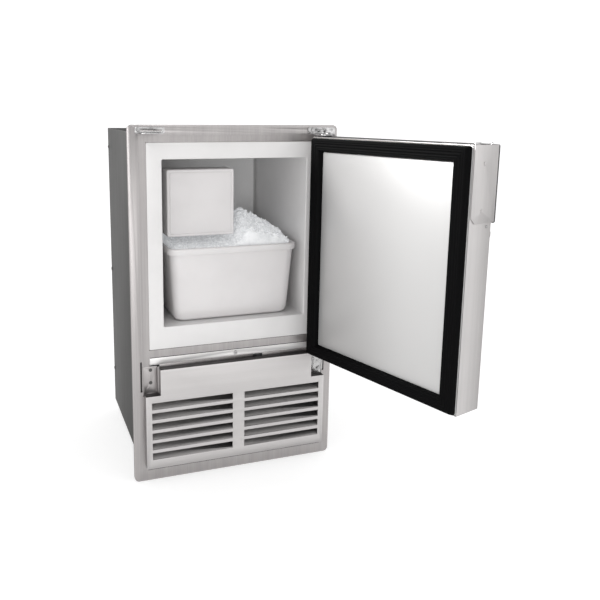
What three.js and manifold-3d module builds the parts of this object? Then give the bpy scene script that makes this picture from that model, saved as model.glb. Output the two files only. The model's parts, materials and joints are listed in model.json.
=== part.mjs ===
// Built-in ice maker: a flanged stainless cabinet with a side-hung door, an insulated cavity
// with an ice-making module and a pull-out bucket, and a refrigeration deck behind a grille.
// Millimetres, +X right, +Y into the cabinet, +Z up. The origin is the middle of the
// front flange's underside. The door is drawn shut and then turned open on its pins.
import * as THREE from "three";
import { mergeVertices } from "three/addons/utils/BufferGeometryUtils.js";
import Module from "manifold-3d";

// Clearances
const GAP = 0.3; // between pieces that touch
const RUN = 0.4; // round a turning or sliding piece

// Front flange
const FLANGE_WIDTH = 390;
const FLANGE_HEIGHT = 650;
const FLANGE_THICKNESS = 6;
const FLANGE_CORNER = 9;
const BAND_WIDTH = 18.3; // raised outer band
const BAND_STEP = 2.5; // band's height over the inner ring
const SLIT_WIDTH = 3.6;
const SLIT_HEIGHT = 57;

// Cabinet
const CABINET_DEPTH = 340; // flange front to back panel
const CABINET_INSET = 16; // flange overhang at each side
const CABINET_DROP = 13.5; // flange overhang at the top
const SHEET = 1.5;
const FOOT_HEIGHT = 22.7;
const FOOT_RADIUS = 16;
const FOOT_INSET = 38; // foot axis from the cabinet's side and ends
const FOOT_STEM = 5;

// Liner and cavity
const LINER_SIDE = 31.6; // flange edge to liner face
const LINER_TOP = 29.5;
const LINER_BOTTOM = 250; // height of the liner face's lower edge
const RIM_SIDE = 27.4; // liner face round the cavity
const RIM_TOP = 29.5;
const RIM_BOTTOM = 41;
const LINER_WALL = 2;
const CAVITY_CORNER = 8;
const BACK_INSULATION = 52;

// Rail, switch and grille
const LINER_BAND = 14; // steel band under the liner
const RAIL_HEIGHT = 15;
const RAIL_SETBACK = 2; // behind the band
const RAIL_DEPTH = 16;
const SWITCH_X = 44;
const SWITCH_WIDTH = 17.5;
const SWITCH_HEIGHT = 12.5;
const ROCKER_TILT = 8; // degrees either way
const GRILLE_HEIGHT = 187.5;
const GRILLE_BOTTOM = 30;
const GRILLE_SIDE = 20.5; // flange edge to grille panel
const GRILLE_DEPTH = 16;
const NOTCH_WIDTH = 27;
const NOTCH_HEIGHT = 48;
const SLOT_ROWS = 6;
const SLOT_HEIGHT = 12.9;
const SLOT_BAR = 6.4;
const SLOT_MARGIN = 10.5; // panel side to slots
const SLOT_POST = 23; // middle post between the two columns
const SLOT_BELOW_NOTCH = 12.8;
const VANE_DEPTH = 11;

// Door, drawn shut
const DOOR_SIDE = 23; // flange edge to door
const DOOR_TOP = 20;
const DOOR_UNDERLAP = 28.5; // below the liner face
const DOOR_THICKNESS = 51;
const DOOR_STANDOFF = 9; // flange front to the rigid inner face
const DOOR_SHEET = 1.2;
const DOOR_CORNER = 2;
const DOOR_REST = 106.45; // degrees open
const GASKET_INSET = 3;
const GASKET_WIDTH_SIDE = 27;
const GASKET_WIDTH_END = 23.7;
const GASKET_CHAMFER = 3.5;
const GASKET_CLEARANCE = 0.8; // to the flange's inner ring when shut
const PANEL_RISE = 2.5;
const PULL_LENGTH = 116;
const PULL_REACH = 38; // grip bar across the door's face
const PULL_STANDOFF = 5.5; // gap behind the grip bar
const PULL_BAR = 3;
const PULL_SCREWS = [27, 96]; // below the door's top

// Hinges
const PIN_FROM_SIDE = 12;
const PIN_FROM_INNER = 21.7;
const PIN_RADIUS = 4;
const LEAF_THICKNESS = 3;
const LEAF_GAP = 1.5; // leaf to door
const LEAF_WIDTH = 28;
const HINGE_PLATE = 2;
const BUSH_RADIUS = 7;
const BUSH_DEPTH = 18;
const HEAD_RADIUS = 3.6; // screw heads
const HEAD_HEIGHT = 1.6;

// Latch
const BOLT_WIDTH = 3;
const BOLT_PROUD = 3; // above the door's top edge
const PRONG_INNER = 13.5;
const PRONG_OUTER = 4;

// Bucket
const BUCKET_SIDE = 13; // rim to the cavity's left wall
const BUCKET_RIGHT = 10; // rim to the cavity's right wall
const BUCKET_FRONT = 10; // rim behind the flange's front
const BUCKET_DEPTH = 245;
const BUCKET_WALL = 2.2;
const BUCKET_RIM = 8;
const BUCKET_TAPER = 9;
const BUCKET_CORNER = 20;
const RIM_UNDER_MODULE = 16.5;

// Ice-making module
const MODULE_SIDE = 18; // cavity's left wall to cover
const MODULE_WIDTH = 127;
const MODULE_HEIGHT = 123;
const MODULE_TOP = 21.5; // under the cavity's ceiling
const MODULE_FRONT = 45; // behind the flange's front
const COVER_DEPTH = 46;
const COVER_WALL = 2;
const COVER_CHAMFER = 4;
const HOUSING = 5;
const SHAFT_X = 58; // ejector axis from the module's left
const SHAFT_Z = 54; // and from its bottom
const SHAFT_RADIUS = 4;
const GEAR_MODULE = 1.5;
const GEAR_TEETH = 30;
const PINION_TEETH = 10;
const GEAR_FACE = 8;
const POCKET_RADIUS = 19;
const POCKET_PITCH = 19.5;
const POCKET_WALL = 3.5;
const FINGER_RADIUS = 16;
const FINGER = 4;
const MOULD_FLOOR = 7;

// Refrigeration deck
const CONDENSER_WIDTH = 150;
const CONDENSER_HEIGHT = 165;
const CONDENSER_DEPTH = 32;
const FIN_PITCH = 9;
const FAN_RADIUS = 58;
const FAN_BLADES = 5;
const FAN_DEPTH = 16;
const FAN_MOTOR = 22; // radius
const COMPRESSOR_RADIUS = 54;
const COMPRESSOR_HEIGHT = 124;
const STUB_SIDE = 20; // tube stubs either side of the compressor's middle
const TUBE = 4; // refrigerant tube radius
const EVAPORATOR = 6;
const EVAPORATOR_SKIN = 3.5;
const EVAPORATOR_CHANNEL = 7;
const EVAPORATOR_ROWS = 5;
const WATER_INLET_HEIGHT = 110;
const CORD_HEIGHT = 70;
const CORD_SIDE = 28; // from the compressor's middle
const VENT_ROWS = 6;
const VENT_PITCH = 12;
const VENT_HEIGHT = 5;
const VENT_WIDTH = 90;

// Planes and edges that several pieces share
const front = -FLANGE_THICKNESS / 2;
const flangeBack = FLANGE_THICKNESS / 2;
const ring = front + BAND_STEP;
const halfFlange = FLANGE_WIDTH / 2;
const halfCabinet = halfFlange - CABINET_INSET;
const halfInside = halfCabinet - SHEET - GAP;
const cabinetTop = FLANGE_HEIGHT - CABINET_DROP;
const cabinetBack = front + CABINET_DEPTH;
const panelFront = cabinetBack - SHEET;
const insideFront = flangeBack + 2 * GAP;
const insideBack = panelFront - GAP;
const halfLiner = halfFlange - LINER_SIDE;
const linerTop = FLANGE_HEIGHT - LINER_TOP;
const halfCavity = halfLiner - RIM_SIDE;
const cavityTop = linerTop - RIM_TOP;
const cavityBottom = LINER_BOTTOM + RIM_BOTTOM;
const cavityBack = cabinetBack - BACK_INSULATION;
const railTop = LINER_BOTTOM - LINER_BAND;
const railBottom = railTop - RAIL_HEIGHT;
const deckBottom = railTop + GAP;
const deckTop = deckBottom + SHEET;
const panTop = FOOT_HEIGHT + 2;
const evaporatorBack = cavityBack - 3;
const evaporatorFront = evaporatorBack - EVAPORATOR;
const moduleLeft = -halfCavity + MODULE_SIDE;
const moduleTop = cavityTop - MODULE_TOP;
const moduleBottom = moduleTop - MODULE_HEIGHT;
const coverFront = front + MODULE_FRONT;
const housingFront = coverFront + COVER_DEPTH + GAP;
const housingBack = housingFront + HOUSING;
const shaftX = moduleLeft + SHAFT_X;
const shaftZ = moduleBottom + SHAFT_Z;
const gearDistance = (GEAR_MODULE * (GEAR_TEETH + PINION_TEETH)) / 2;
const gearFront = housingFront - GEAR_FACE - 4;
const mouldFront = housingBack + 4;
const mouldBack = evaporatorFront - 12;
const mouldTop = shaftZ - SHAFT_RADIUS - 2;
const pockets = Math.floor((mouldBack - mouldFront - 2 * POCKET_WALL) / POCKET_PITCH);
const pocketStart = (mouldFront + mouldBack - pockets * POCKET_PITCH) / 2;
const fillHeight = shaftZ + 48.5;
const halfDoor = halfFlange - DOOR_SIDE;
const doorTop = FLANGE_HEIGHT - DOOR_TOP;
const doorBottom = LINER_BOTTOM - DOOR_UNDERLAP;
const doorInner = front - DOOR_STANDOFF;
const doorOuter = doorInner - DOOR_THICKNESS;
const pinX = halfDoor - PIN_FROM_SIDE;
const pinY = doorInner - PIN_FROM_INNER;
const halfGasket = halfDoor - GASKET_INSET;
const panelBack = doorInner + GAP;
const boltX = -halfDoor + DOOR_SHEET + BOLT_WIDTH / 2 + 1.3;
const plateLow = GRILLE_BOTTOM + GRILLE_HEIGHT - NOTCH_HEIGHT - 4.5;
const halfGrille = halfFlange - GRILLE_SIDE;
const compressorX = halfInside - COMPRESSOR_RADIUS - 48;
const compressorY = cabinetBack - COMPRESSOR_RADIUS - 33;
const compressorFoot = panTop + 11 + GAP;
const condenserLeft = -halfInside + 8;
const condenserFront = insideFront + 9;
const condenserBottom = panTop + 10;
const fanX = condenserLeft + CONDENSER_WIDTH / 2;
const fanZ = condenserBottom + CONDENSER_HEIGHT / 2;
const shroudFront = condenserFront + CONDENSER_DEPTH + GAP;
const fanFront = shroudFront + 5;

// Tube and cord runs
const stubTop = compressorFoot + COMPRESSOR_HEIGHT + 7;
const dischargeX = condenserLeft + CONDENSER_WIDTH + GAP;
const suctionX = compressorX + 25;
const suctionY = cavityBack + 25;
const suctionZ = cavityBottom + 27;
const fillY = insideBack - 9;
const valveTop = WATER_INLET_HEIGHT + 24;
const cordX = compressorX + CORD_SIDE;

// Rail and switch
const railFront = ring + RAIL_SETBACK;
const switchTop = railBottom - GAP;
const switchMiddle = switchTop - SWITCH_HEIGHT / 2;
const rockerPivotY = ring + 5;

// Door hardware
const leafFront = pinY - 11;
const prongBack = doorInner - 6;
const prongOuter = doorOuter + 4;
const keeperLow = doorTop + BOLT_PROUD + 2.5;
const thumbZ = doorTop - PULL_LENGTH - 22;
const pullFace = doorOuter - PULL_STANDOFF - PULL_BAR;
const pullLow = doorTop - PULL_LENGTH;

// Gasket and the panel it frames
const halfPanel = halfGasket - GASKET_WIDTH_SIDE;
const gasketTop = doorTop - 2.1;
const gasketBottom = doorBottom + 1.9;
const panelTop = gasketTop - GASKET_WIDTH_END;
const panelBottom = gasketBottom + GASKET_WIDTH_END;

// Bucket and bail arm
const bucketBottom = cavityBottom + 2 * GAP;
const bucketTop = moduleBottom - RIM_UNDER_MODULE;
const bucketLeft = -halfCavity + BUCKET_SIDE;
const bucketRight = halfCavity - BUCKET_RIGHT;
const bucketFront = front + BUCKET_FRONT;
const bucketBack = Math.min(bucketFront + BUCKET_DEPTH, evaporatorFront - 8);
const bailY = housingBack + 8;
const bailZ = shaftZ + 4.5;

const wasm = await Module();
wasm.setup();

// Solids: closed geometries that can be joined and cut

function toSolid(geometry) {
  const bare = geometry.index ? geometry.toNonIndexed() : geometry.clone();
  bare.deleteAttribute("normal");
  bare.deleteAttribute("uv");
  const merged = mergeVertices(bare, 1e-4);
  const corners = merged.index.array;
  const kept = [];
  for (let i = 0; i < corners.length; i += 3) {
    const [a, b, c] = [corners[i], corners[i + 1], corners[i + 2]];
    if (a !== b && b !== c && c !== a) kept.push(a, b, c);
  }
  return new wasm.Manifold(new wasm.Mesh({
    numProp: 3,
    vertProperties: merged.attributes.position.array,
    triVerts: new Uint32Array(kept),
  }));
}

function toGeometry(solid) {
  const mesh = solid.getMesh();
  const indexed = new THREE.BufferGeometry();
  indexed.setAttribute("position", new THREE.BufferAttribute(mesh.vertProperties, 3));
  indexed.setIndex(new THREE.BufferAttribute(mesh.triVerts, 1));
  const flat = indexed.toNonIndexed();
  flat.computeVertexNormals();
  return flat;
}

function cut(base, ...tools) {
  return toGeometry(tools.reduce((left, tool) => left.subtract(toSolid(tool)), toSolid(base)));
}

function join(first, ...others) {
  return toGeometry(others.reduce((sum, other) => sum.add(toSolid(other)), toSolid(first)));
}

// Basic shapes

function box(x0, x1, y0, y1, z0, z1) {
  const geometry = new THREE.BoxGeometry(x1 - x0, y1 - y0, z1 - z0);
  return geometry.translate((x0 + x1) / 2, (y0 + y1) / 2, (z0 + z1) / 2);
}

// A rectangle with round corners, as an outline in its own plane.
function roundRect(a0, a1, b0, b1, radius) {
  const shape = new THREE.Shape();
  const r = Math.min(radius, (a1 - a0) / 2, (b1 - b0) / 2);
  shape.absarc(a1 - r, b1 - r, r, 0, Math.PI / 2);
  shape.absarc(a0 + r, b1 - r, r, Math.PI / 2, Math.PI);
  shape.absarc(a0 + r, b0 + r, r, Math.PI, 1.5 * Math.PI);
  shape.absarc(a1 - r, b0 + r, r, 1.5 * Math.PI, 2 * Math.PI);
  return shape;
}

function polygon(points) {
  return new THREE.Shape(points.map(([a, b]) => new THREE.Vector2(a, b)));
}

function extrude(shape, depth, segments) {
  return new THREE.ExtrudeGeometry(shape, { depth, bevelEnabled: false, curveSegments: segments });
}

// An outline in X and Z, between two depths.
function plateXZ(shape, y0, y1, segments = 5) {
  return extrude(shape, y1 - y0, segments).rotateX(Math.PI / 2).translate(0, y1, 0);
}

// An outline in X and Y, between two heights.
function plateXY(shape, z0, z1, segments = 5) {
  return extrude(shape, z1 - z0, segments).translate(0, 0, z0);
}

// An outline in Y and Z, between two widths.
function plateYZ(shape, x0, x1, segments = 5) {
  const turn = new THREE.Matrix4().makeBasis(
    new THREE.Vector3(0, 1, 0), new THREE.Vector3(0, 0, 1), new THREE.Vector3(1, 0, 0));
  return extrude(shape, x1 - x0, segments).applyMatrix4(turn).translate(x0, 0, 0);
}

function rodX(radius, x0, x1, y, z, sides = 16) {
  const rod = new THREE.CylinderGeometry(radius, radius, x1 - x0, sides);
  return rod.rotateZ(Math.PI / 2).translate((x0 + x1) / 2, y, z);
}

function rodY(radius, y0, y1, x, z, sides = 16) {
  return new THREE.CylinderGeometry(radius, radius, y1 - y0, sides).translate(x, (y0 + y1) / 2, z);
}

function rodZ(radius, z0, z1, x, y, sides = 16) {
  const rod = new THREE.CylinderGeometry(radius, radius, z1 - z0, sides);
  return rod.rotateX(Math.PI / 2).translate(x, y, (z0 + z1) / 2);
}

// A turned piece standing on Z: the profile is [radius, height] from the axis round to the axis.
function turned(profile, x, y, sides = 24) {
  const points = profile.map(([radius, height]) => new THREE.Vector2(radius, height));
  return new THREE.LatheGeometry(points, sides).rotateX(Math.PI / 2).translate(x, y, 0);
}

// A round tube or wire along a smooth curve through the points.
function tube(points, radius, steps, sides = 8) {
  const path = new THREE.CatmullRomCurve3(points.map((p) => new THREE.Vector3(...p)), false, "centripetal");
  const section = polygon(Array.from({ length: sides }, (_, i) => {
    const angle = (2 * Math.PI * i) / sides;
    return [radius * Math.cos(angle), radius * Math.sin(angle)];
  }));
  return new THREE.ExtrudeGeometry(section, { steps, extrudePath: path, bevelEnabled: false });
}

// One ring of points round a rounded rectangle at a height.
function roundedRing(x0, x1, y0, y1, radius, z, steps = 4) {
  const corners = [[x1, y1, 0], [x0, y1, 1], [x0, y0, 2], [x1, y0, 3]];
  return corners.flatMap(([x, y, quarter]) => {
    const cx = x === x1 ? x1 - radius : x0 + radius;
    const cy = y === y1 ? y1 - radius : y0 + radius;
    return Array.from({ length: steps + 1 }, (_, i) => {
      const angle = ((quarter + i / steps) * Math.PI) / 2;
      return [cx + radius * Math.cos(angle), cy + radius * Math.sin(angle), z];
    });
  });
}

// The same ring standing up, in X and Z at a depth, for a skin that runs towards +Y.
function uprightRing(x0, x1, z0, z1, radius, y, steps) {
  return roundedRing(x0, x1, z0, z1, radius, y, steps).map(([x, z, depth]) => [x, depth, z]).reverse();
}

// A skin stitched over equal rings, closed with a flat cap at the first and the last.
function loft(rings) {
  const count = rings[0].length;
  const faces = [];
  rings.slice(1).forEach((_, row) => {
    for (let i = 0; i < count; i += 1) {
      const a = row * count + i;
      const b = row * count + ((i + 1) % count);
      faces.push(a, b, b + count, a, b + count, a + count);
    }
  });
  const last = (rings.length - 1) * count;
  for (let i = 1; i < count - 1; i += 1) {
    faces.push(0, i + 1, i, last, last + i, last + i + 1);
  }
  const geometry = new THREE.BufferGeometry();
  geometry.setAttribute("position", new THREE.Float32BufferAttribute(rings.flat(2), 3));
  geometry.setIndex(faces);
  return geometry;
}

// A pan-head screw whose head faces -Y, with a cross recess.
function screwY(x, z, seat, shank = 8) {
  const head = rodY(HEAD_RADIUS, seat - HEAD_HEIGHT, seat, x, z, 14);
  const body = rodY(HEAD_RADIUS / 2, seat - 0.5, seat + shank, x, z, 10);
  const arm = HEAD_RADIUS * 0.6;
  const slotTop = seat - HEAD_HEIGHT - 1;
  const across = box(x - arm, x + arm, slotTop, slotTop + 1.7, z - 0.5, z + 0.5);
  const down = box(x - 0.5, x + 0.5, slotTop, slotTop + 1.7, z - arm, z + arm);
  return cut(join(head, body), across, down);
}

function screwHoleY(x, z, y0, y1) {
  return rodY(HEAD_RADIUS / 2 + GAP, y0, y1, x, z, 10);
}

// Where the fasteners sit
const railScrew = [0, railBottom + RAIL_HEIGHT / 2];
const hingeTopScrew = [halfFlange - 50, FLANGE_HEIGHT - 9.6];
const keeperScrew = [-halfFlange + 19, FLANGE_HEIGHT - 8];
const blankScrews = [[-halfFlange + 33, plateLow + 24], [-halfFlange + 33, plateLow + 48]];
const hingeBottomScrew = [halfFlange - 24, plateLow + 14];
const notchPlate = {
  x0: halfFlange - 45,
  x1: halfFlange - BAND_WIDTH - 0.7,
  z0: plateLow,
  z1: railBottom - 1,
};

// Cabinet

function frontFlange() {
  const outline = roundRect(-halfFlange, halfFlange, 0, FLANGE_HEIGHT, FLANGE_CORNER);
  const halfStep = halfFlange - BAND_WIDTH;
  const cutters = [
    box(-halfStep, halfStep, front - 1, ring, railBottom - 2, FLANGE_HEIGHT - BAND_WIDTH),
    box(-halfLiner, halfLiner, front - 1, flangeBack + 1, LINER_BOTTOM, linerTop),
    box(-halfLiner, halfLiner, front - 1, flangeBack + 1, railBottom - 2, railTop),
    box(-notchPlate.x0 + 4, notchPlate.x0 - 4, front - 1, flangeBack + 1, plateLow, railBottom),
    box(-halfGrille + 9, halfGrille - 9, front - 1, flangeBack + 1, GRILLE_BOTTOM + 10, plateLow - 5),
  ];
  for (const side of [-1, 1]) {
    const [a, b] = [side * (notchPlate.x0 - GAP), side * (notchPlate.x1 + GAP)];
    cutters.push(box(Math.min(a, b), Math.max(a, b), front - 1, ring, plateLow - GAP, railBottom));
    const slit = side * (halfStep + 0.9 + SLIT_WIDTH / 2);
    cutters.push(box(slit - SLIT_WIDTH / 2, slit + SLIT_WIDTH / 2, front - 1, flangeBack + 1,
      plateLow + 8.4, plateLow + 8.4 + SLIT_HEIGHT));
  }
  const p = notchPlate;
  cutters.push(box(-p.x1 - GAP, -p.x0 + GAP, front - 1, ring + 1.2, p.z0 - GAP, p.z1 + GAP));
  for (const [x, z] of [hingeTopScrew, keeperScrew, ...blankScrews, hingeBottomScrew]) {
    cutters.push(screwHoleY(x, z, front - 1, flangeBack + 1));
  }
  return cut(plateXZ(outline, front, flangeBack), ...cutters);
}

function cabinetShell() {
  const outer = box(-halfCabinet, halfCabinet, insideFront - GAP, panelFront - GAP, FOOT_HEIGHT, cabinetTop);
  const inner = box(-halfCabinet + SHEET, halfCabinet - SHEET, front, cabinetBack,
    FOOT_HEIGHT - 1, cabinetTop - SHEET);
  return cut(outer, inner);
}

function backPanel() {
  const plate = box(-halfCabinet, halfCabinet, panelFront, cabinetBack, FOOT_HEIGHT, cabinetTop);
  const vents = [];
  const ventTop = deckBottom - 30;
  const [x0, x1] = [compressorX - VENT_WIDTH / 2, compressorX + VENT_WIDTH / 2];
  for (let row = 0; row < VENT_ROWS; row += 1) {
    const z = ventTop - row * VENT_PITCH;
    vents.push(box(x0, x1, panelFront - 1, cabinetBack + 1, z, z + VENT_HEIGHT));
  }
  const valveHole = rodY(9.5, panelFront - 1, cabinetBack + 1, shaftX, WATER_INLET_HEIGHT);
  const glandHole = rodY(8.5, panelFront - 1, cabinetBack + 1, cordX, CORD_HEIGHT);
  return cut(plate, ...vents, valveHole, glandHole);
}

const footPlaces = [-1, 1].flatMap((side) => [
  [side * (halfCabinet - FOOT_INSET), insideFront + FOOT_INSET + 6],
  [side * (halfCabinet - FOOT_INSET), insideBack - FOOT_INSET],
]);

const mountPosts = [-1, 1].flatMap((a) => [-1, 1].map((b) => [
  compressorX + a * (COMPRESSOR_RADIUS - 2),
  compressorY + b * (COMPRESSOR_RADIUS - 10),
]));

function basePan() {
  const plate = box(-halfInside, halfInside, insideFront, insideBack, FOOT_HEIGHT, panTop);
  const posts = mountPosts.map(([x, y]) => rodZ(7, FOOT_HEIGHT + 0.5, panTop + 11, x, y, 12));
  const holes = footPlaces.map(([x, y]) => rodZ(FOOT_STEM + RUN, 0, panTop + 20, x, y, 12));
  return cut(join(plate, ...posts), ...holes);
}

function machineDeck() {
  const plate = box(-halfInside, halfInside, insideFront, insideBack, deckBottom, deckTop);
  const suctionHole = rodZ(13, deckBottom - 1, deckTop + 1, suctionX, suctionY, 12);
  const fillHole = rodZ(9, deckBottom - 1, deckTop + 1, shaftX, fillY, 12);
  return cut(plate, suctionHole, fillHole);
}

function levellingFoot([x, y]) {
  return turned([
    [0, 0], [FOOT_RADIUS, 0], [FOOT_RADIUS, 5], [FOOT_RADIUS - 3, 8], [FOOT_STEM, 10],
    [FOOT_STEM, 17], [9, 17], [9, FOOT_HEIGHT - GAP], [FOOT_STEM, FOOT_HEIGHT - GAP],
    [FOOT_STEM, panTop + 9], [0, panTop + 9],
  ], x, y, 12);
}

function linerTub() {
  const lip = box(-halfLiner + GAP, halfLiner - GAP, ring, ring + 3, LINER_BOTTOM + GAP, linerTop - GAP);
  const shell = plateXZ(roundRect(-halfCavity - LINER_WALL, halfCavity + LINER_WALL,
    cavityBottom - LINER_WALL, cavityTop + LINER_WALL, CAVITY_CORNER + LINER_WALL),
  ring + 1, cavityBack + LINER_WALL);
  const hollow = plateXZ(roundRect(-halfCavity, halfCavity, cavityBottom, cavityTop, CAVITY_CORNER),
    front - 1, cavityBack);
  const fillHole = rodY(TUBE + 2, cavityBack - 1, cavityBack + LINER_WALL + 1, shaftX, fillHeight, 12);
  const suctionHole = rodY(TUBE + 2, cavityBack - 1, cavityBack + LINER_WALL + 1, suctionX, suctionZ, 12);
  return cut(join(lip, shell), hollow, fillHole, suctionHole);
}

function foamInsulation() {
  const block = box(-halfInside, halfInside, flangeBack + GAP, insideBack,
    deckTop + GAP, cabinetTop - SHEET - GAP);
  const room = LINER_WALL + GAP;
  const tubRoom = plateXZ(roundRect(-halfCavity - room, halfCavity + room, cavityBottom - room,
    cavityTop + room, CAVITY_CORNER + room), front, cavityBack + room);
  const fillRun = box(shaftX - 7, shaftX + 7, fillY - 8, insideBack + 1, deckTop, fillHeight + 9);
  const fillIn = box(shaftX - 7, shaftX + 7, cavityBack, insideBack + 1, fillHeight - 16, fillHeight + 9);
  const suctionRun = box(suctionX - 8, suctionX + 8, cavityBack, suctionY + 9, deckTop, suctionZ + 10);
  return cut(block, tubRoom, fillRun, fillIn, suctionRun);
}

// A plain plate whose refrigerant channel is pressed out at the back, in rows joined at the ends.
function evaporatorPlate() {
  const halfPlate = halfCavity - 6;
  const halfRun = halfPlate - 14;
  const skin = evaporatorFront + EVAPORATOR_SKIN;
  const plate = box(-halfPlate, halfPlate, evaporatorFront, skin, cavityBottom + 8, cavityTop - 6);
  const runs = [];
  const pitch = (cavityTop - cavityBottom - 60) / EVAPORATOR_ROWS;
  for (let row = 0; row <= EVAPORATOR_ROWS; row += 1) {
    const z = suctionZ - 1 + row * pitch;
    const run = [z, z + EVAPORATOR_CHANNEL];
    runs.push(box(-halfRun, halfRun, skin - 0.5, evaporatorBack, ...run));
    const side = row % 2 === 0 ? halfRun - EVAPORATOR_CHANNEL : -halfRun;
    const bend = [side, side + EVAPORATOR_CHANNEL];
    if (row < EVAPORATOR_ROWS) runs.push(box(...bend, skin - 0.5, evaporatorBack, z, z + pitch + 1));
  }
  const fillHole = rodY(TUBE + 2, evaporatorFront - 1, evaporatorBack + 1, shaftX, fillHeight, 12);
  return cut(join(plate, ...runs), fillHole);
}

// Rail, switch and grille

function lowerRail() {
  const outer = box(-halfLiner + GAP, halfLiner - GAP, railFront, railFront + RAIL_DEPTH,
    railBottom, railTop - GAP);
  const hollow = box(-halfLiner - 1, halfLiner + 1, railFront + SHEET, railFront + RAIL_DEPTH + 1,
    railBottom + SHEET, railTop - GAP - SHEET);
  return cut(outer, hollow, screwHoleY(...railScrew, front, railFront + RAIL_DEPTH));
}

function rockerBezel() {
  const half = SWITCH_WIDTH / 2;
  const body = box(SWITCH_X - half, SWITCH_X + half, ring + 0.5, ring + 16,
    switchTop - SWITCH_HEIGHT, switchTop);
  const window = box(SWITCH_X - half + 1.5, SWITCH_X + half - 1.5, front - 1, ring + 12,
    switchTop - SWITCH_HEIGHT + 1.8, switchTop - 1.8);
  return cut(body, window);
}

// The rocker is drawn about its own pivot, which runs up through the middle.
function powerRocker() {
  const half = SWITCH_WIDTH / 2 - 2.75;
  const outline = polygon([[-half, -5], [-half * 0.5, -4.1], [0, -3.7], [half * 0.5, -4.1], [half, -5],
    [half * 0.65, 4], [-half * 0.65, 4]]);
  const height = SWITCH_HEIGHT - 3.6 - 2 * RUN;
  return plateXY(outline, -height / 2, height / 2);
}

function grillePanel() {
  const top = GRILLE_BOTTOM + GRILLE_HEIGHT;
  const notchZ = top - NOTCH_HEIGHT;
  const tee = (inset) => polygon([
    [-halfGrille + inset, GRILLE_BOTTOM + inset], [halfGrille - inset, GRILLE_BOTTOM + inset],
    [halfGrille - inset, notchZ - inset], [halfGrille - NOTCH_WIDTH - inset, notchZ - inset],
    [halfGrille - NOTCH_WIDTH - inset, top - inset], [-halfGrille + NOTCH_WIDTH + inset, top - inset],
    [-halfGrille + NOTCH_WIDTH + inset, notchZ - inset], [-halfGrille + inset, notchZ - inset],
  ]);
  const back = front - GAP;
  const face = back - GRILLE_DEPTH;
  const pan = cut(plateXZ(tee(0), face, back), plateXZ(tee(SHEET), face + SHEET, back + 1));
  const slots = [];
  const vanes = [];
  for (const side of [-1, 1]) {
    const near = side * (SLOT_POST / 2);
    const far = side * (halfGrille - SLOT_MARGIN);
    const [x0, x1] = [Math.min(near, far), Math.max(near, far)];
    for (let row = 0; row < SLOT_ROWS; row += 1) {
      const z1 = notchZ - SLOT_BELOW_NOTCH - row * (SLOT_HEIGHT + SLOT_BAR);
      const z0 = z1 - SLOT_HEIGHT;
      slots.push(box(x0, x1, face - 1, face + SHEET + 0.5, z0, z1));
      const rise = VANE_DEPTH * 0.75;
      vanes.push(plateYZ(polygon([[face + 0.4, z0 - 1.2], [face + 0.4 + VANE_DEPTH, z0 - 1.2 + rise],
        [face + 0.4 + VANE_DEPTH, z0 + rise], [face + 0.4, z0]]), x0 - 1, x1 + 1));
    }
  }
  return join(cut(pan, ...slots), ...vanes);
}

// Hinges, keeper and cover plate on the flange

function hingeTopBracket() {
  const low = doorTop + LEAF_GAP;
  const face = roundRect(halfFlange - 59, halfFlange - 5, low + LEAF_THICKNESS - 0.5, FLANGE_HEIGHT - 4, 2.5);
  const plate = plateXZ(face, front - GAP - HINGE_PLATE, front - GAP);
  const reach = roundRect(pinX - LEAF_WIDTH / 2, pinX + LEAF_WIDTH / 2, leafFront, front - GAP + 9, 9);
  const leaf = plateXY(reach, low, low + LEAF_THICKNESS, 6);
  const trim = box(-halfFlange, halfFlange, front - GAP, front + 30, low - 1, FLANGE_HEIGHT);
  const pinHole = rodZ(PIN_RADIUS + GAP, low - 1, low + LEAF_THICKNESS + 1, pinX, pinY, 20);
  return cut(join(plate, leaf), trim, pinHole, screwHoleY(...hingeTopScrew, front - 9, front + 1));
}

function hingeTopPin() {
  const seat = doorTop + LEAF_GAP + LEAF_THICKNESS + GAP;
  return turned([[0, doorTop - BUSH_DEPTH + 3], [PIN_RADIUS - 1, doorTop - BUSH_DEPTH + 3],
    [PIN_RADIUS, doorTop - BUSH_DEPTH + 4], [PIN_RADIUS, seat], [6.4, seat], [6.4, seat + 2],
    [5.2, seat + 3], [0, seat + 3]], pinX, pinY, 20);
}

function hingeBottomBracket() {
  const top = doorBottom - LEAF_GAP;
  const p = notchPlate;
  const back = ring - GAP;
  const plate = box(p.x0, p.x1, back - HINGE_PLATE, back, p.z0, top);
  const reach = roundRect(p.x0, pinX + LEAF_WIDTH / 2, leafFront, back + 9, 9);
  const leaf = plateXY(reach, top - LEAF_THICKNESS, top, 6);
  const trim = box(-halfFlange, halfFlange, back, front + 40, p.z0, top + 1);
  const past = box(p.x1, halfFlange, back - HINGE_PLATE - 1, front + 40, p.z0, top + 1);
  const pinHole = rodZ(PIN_RADIUS + GAP, top - LEAF_THICKNESS - 1, top + 1, pinX, pinY, 20);
  return cut(join(plate, leaf), trim, past, pinHole, screwHoleY(...hingeBottomScrew, front - 9, front + 9));
}

function hingeBottomPin() {
  const seat = doorBottom - LEAF_GAP - LEAF_THICKNESS - GAP;
  return turned([[0, seat - 3], [5.2, seat - 3], [6.4, seat - 2], [6.4, seat], [PIN_RADIUS, seat],
    [PIN_RADIUS, doorBottom + BUSH_DEPTH - 4], [PIN_RADIUS - 1, doorBottom + BUSH_DEPTH - 3],
    [0, doorBottom + BUSH_DEPTH - 3]], pinX, pinY, 20);
}

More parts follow.
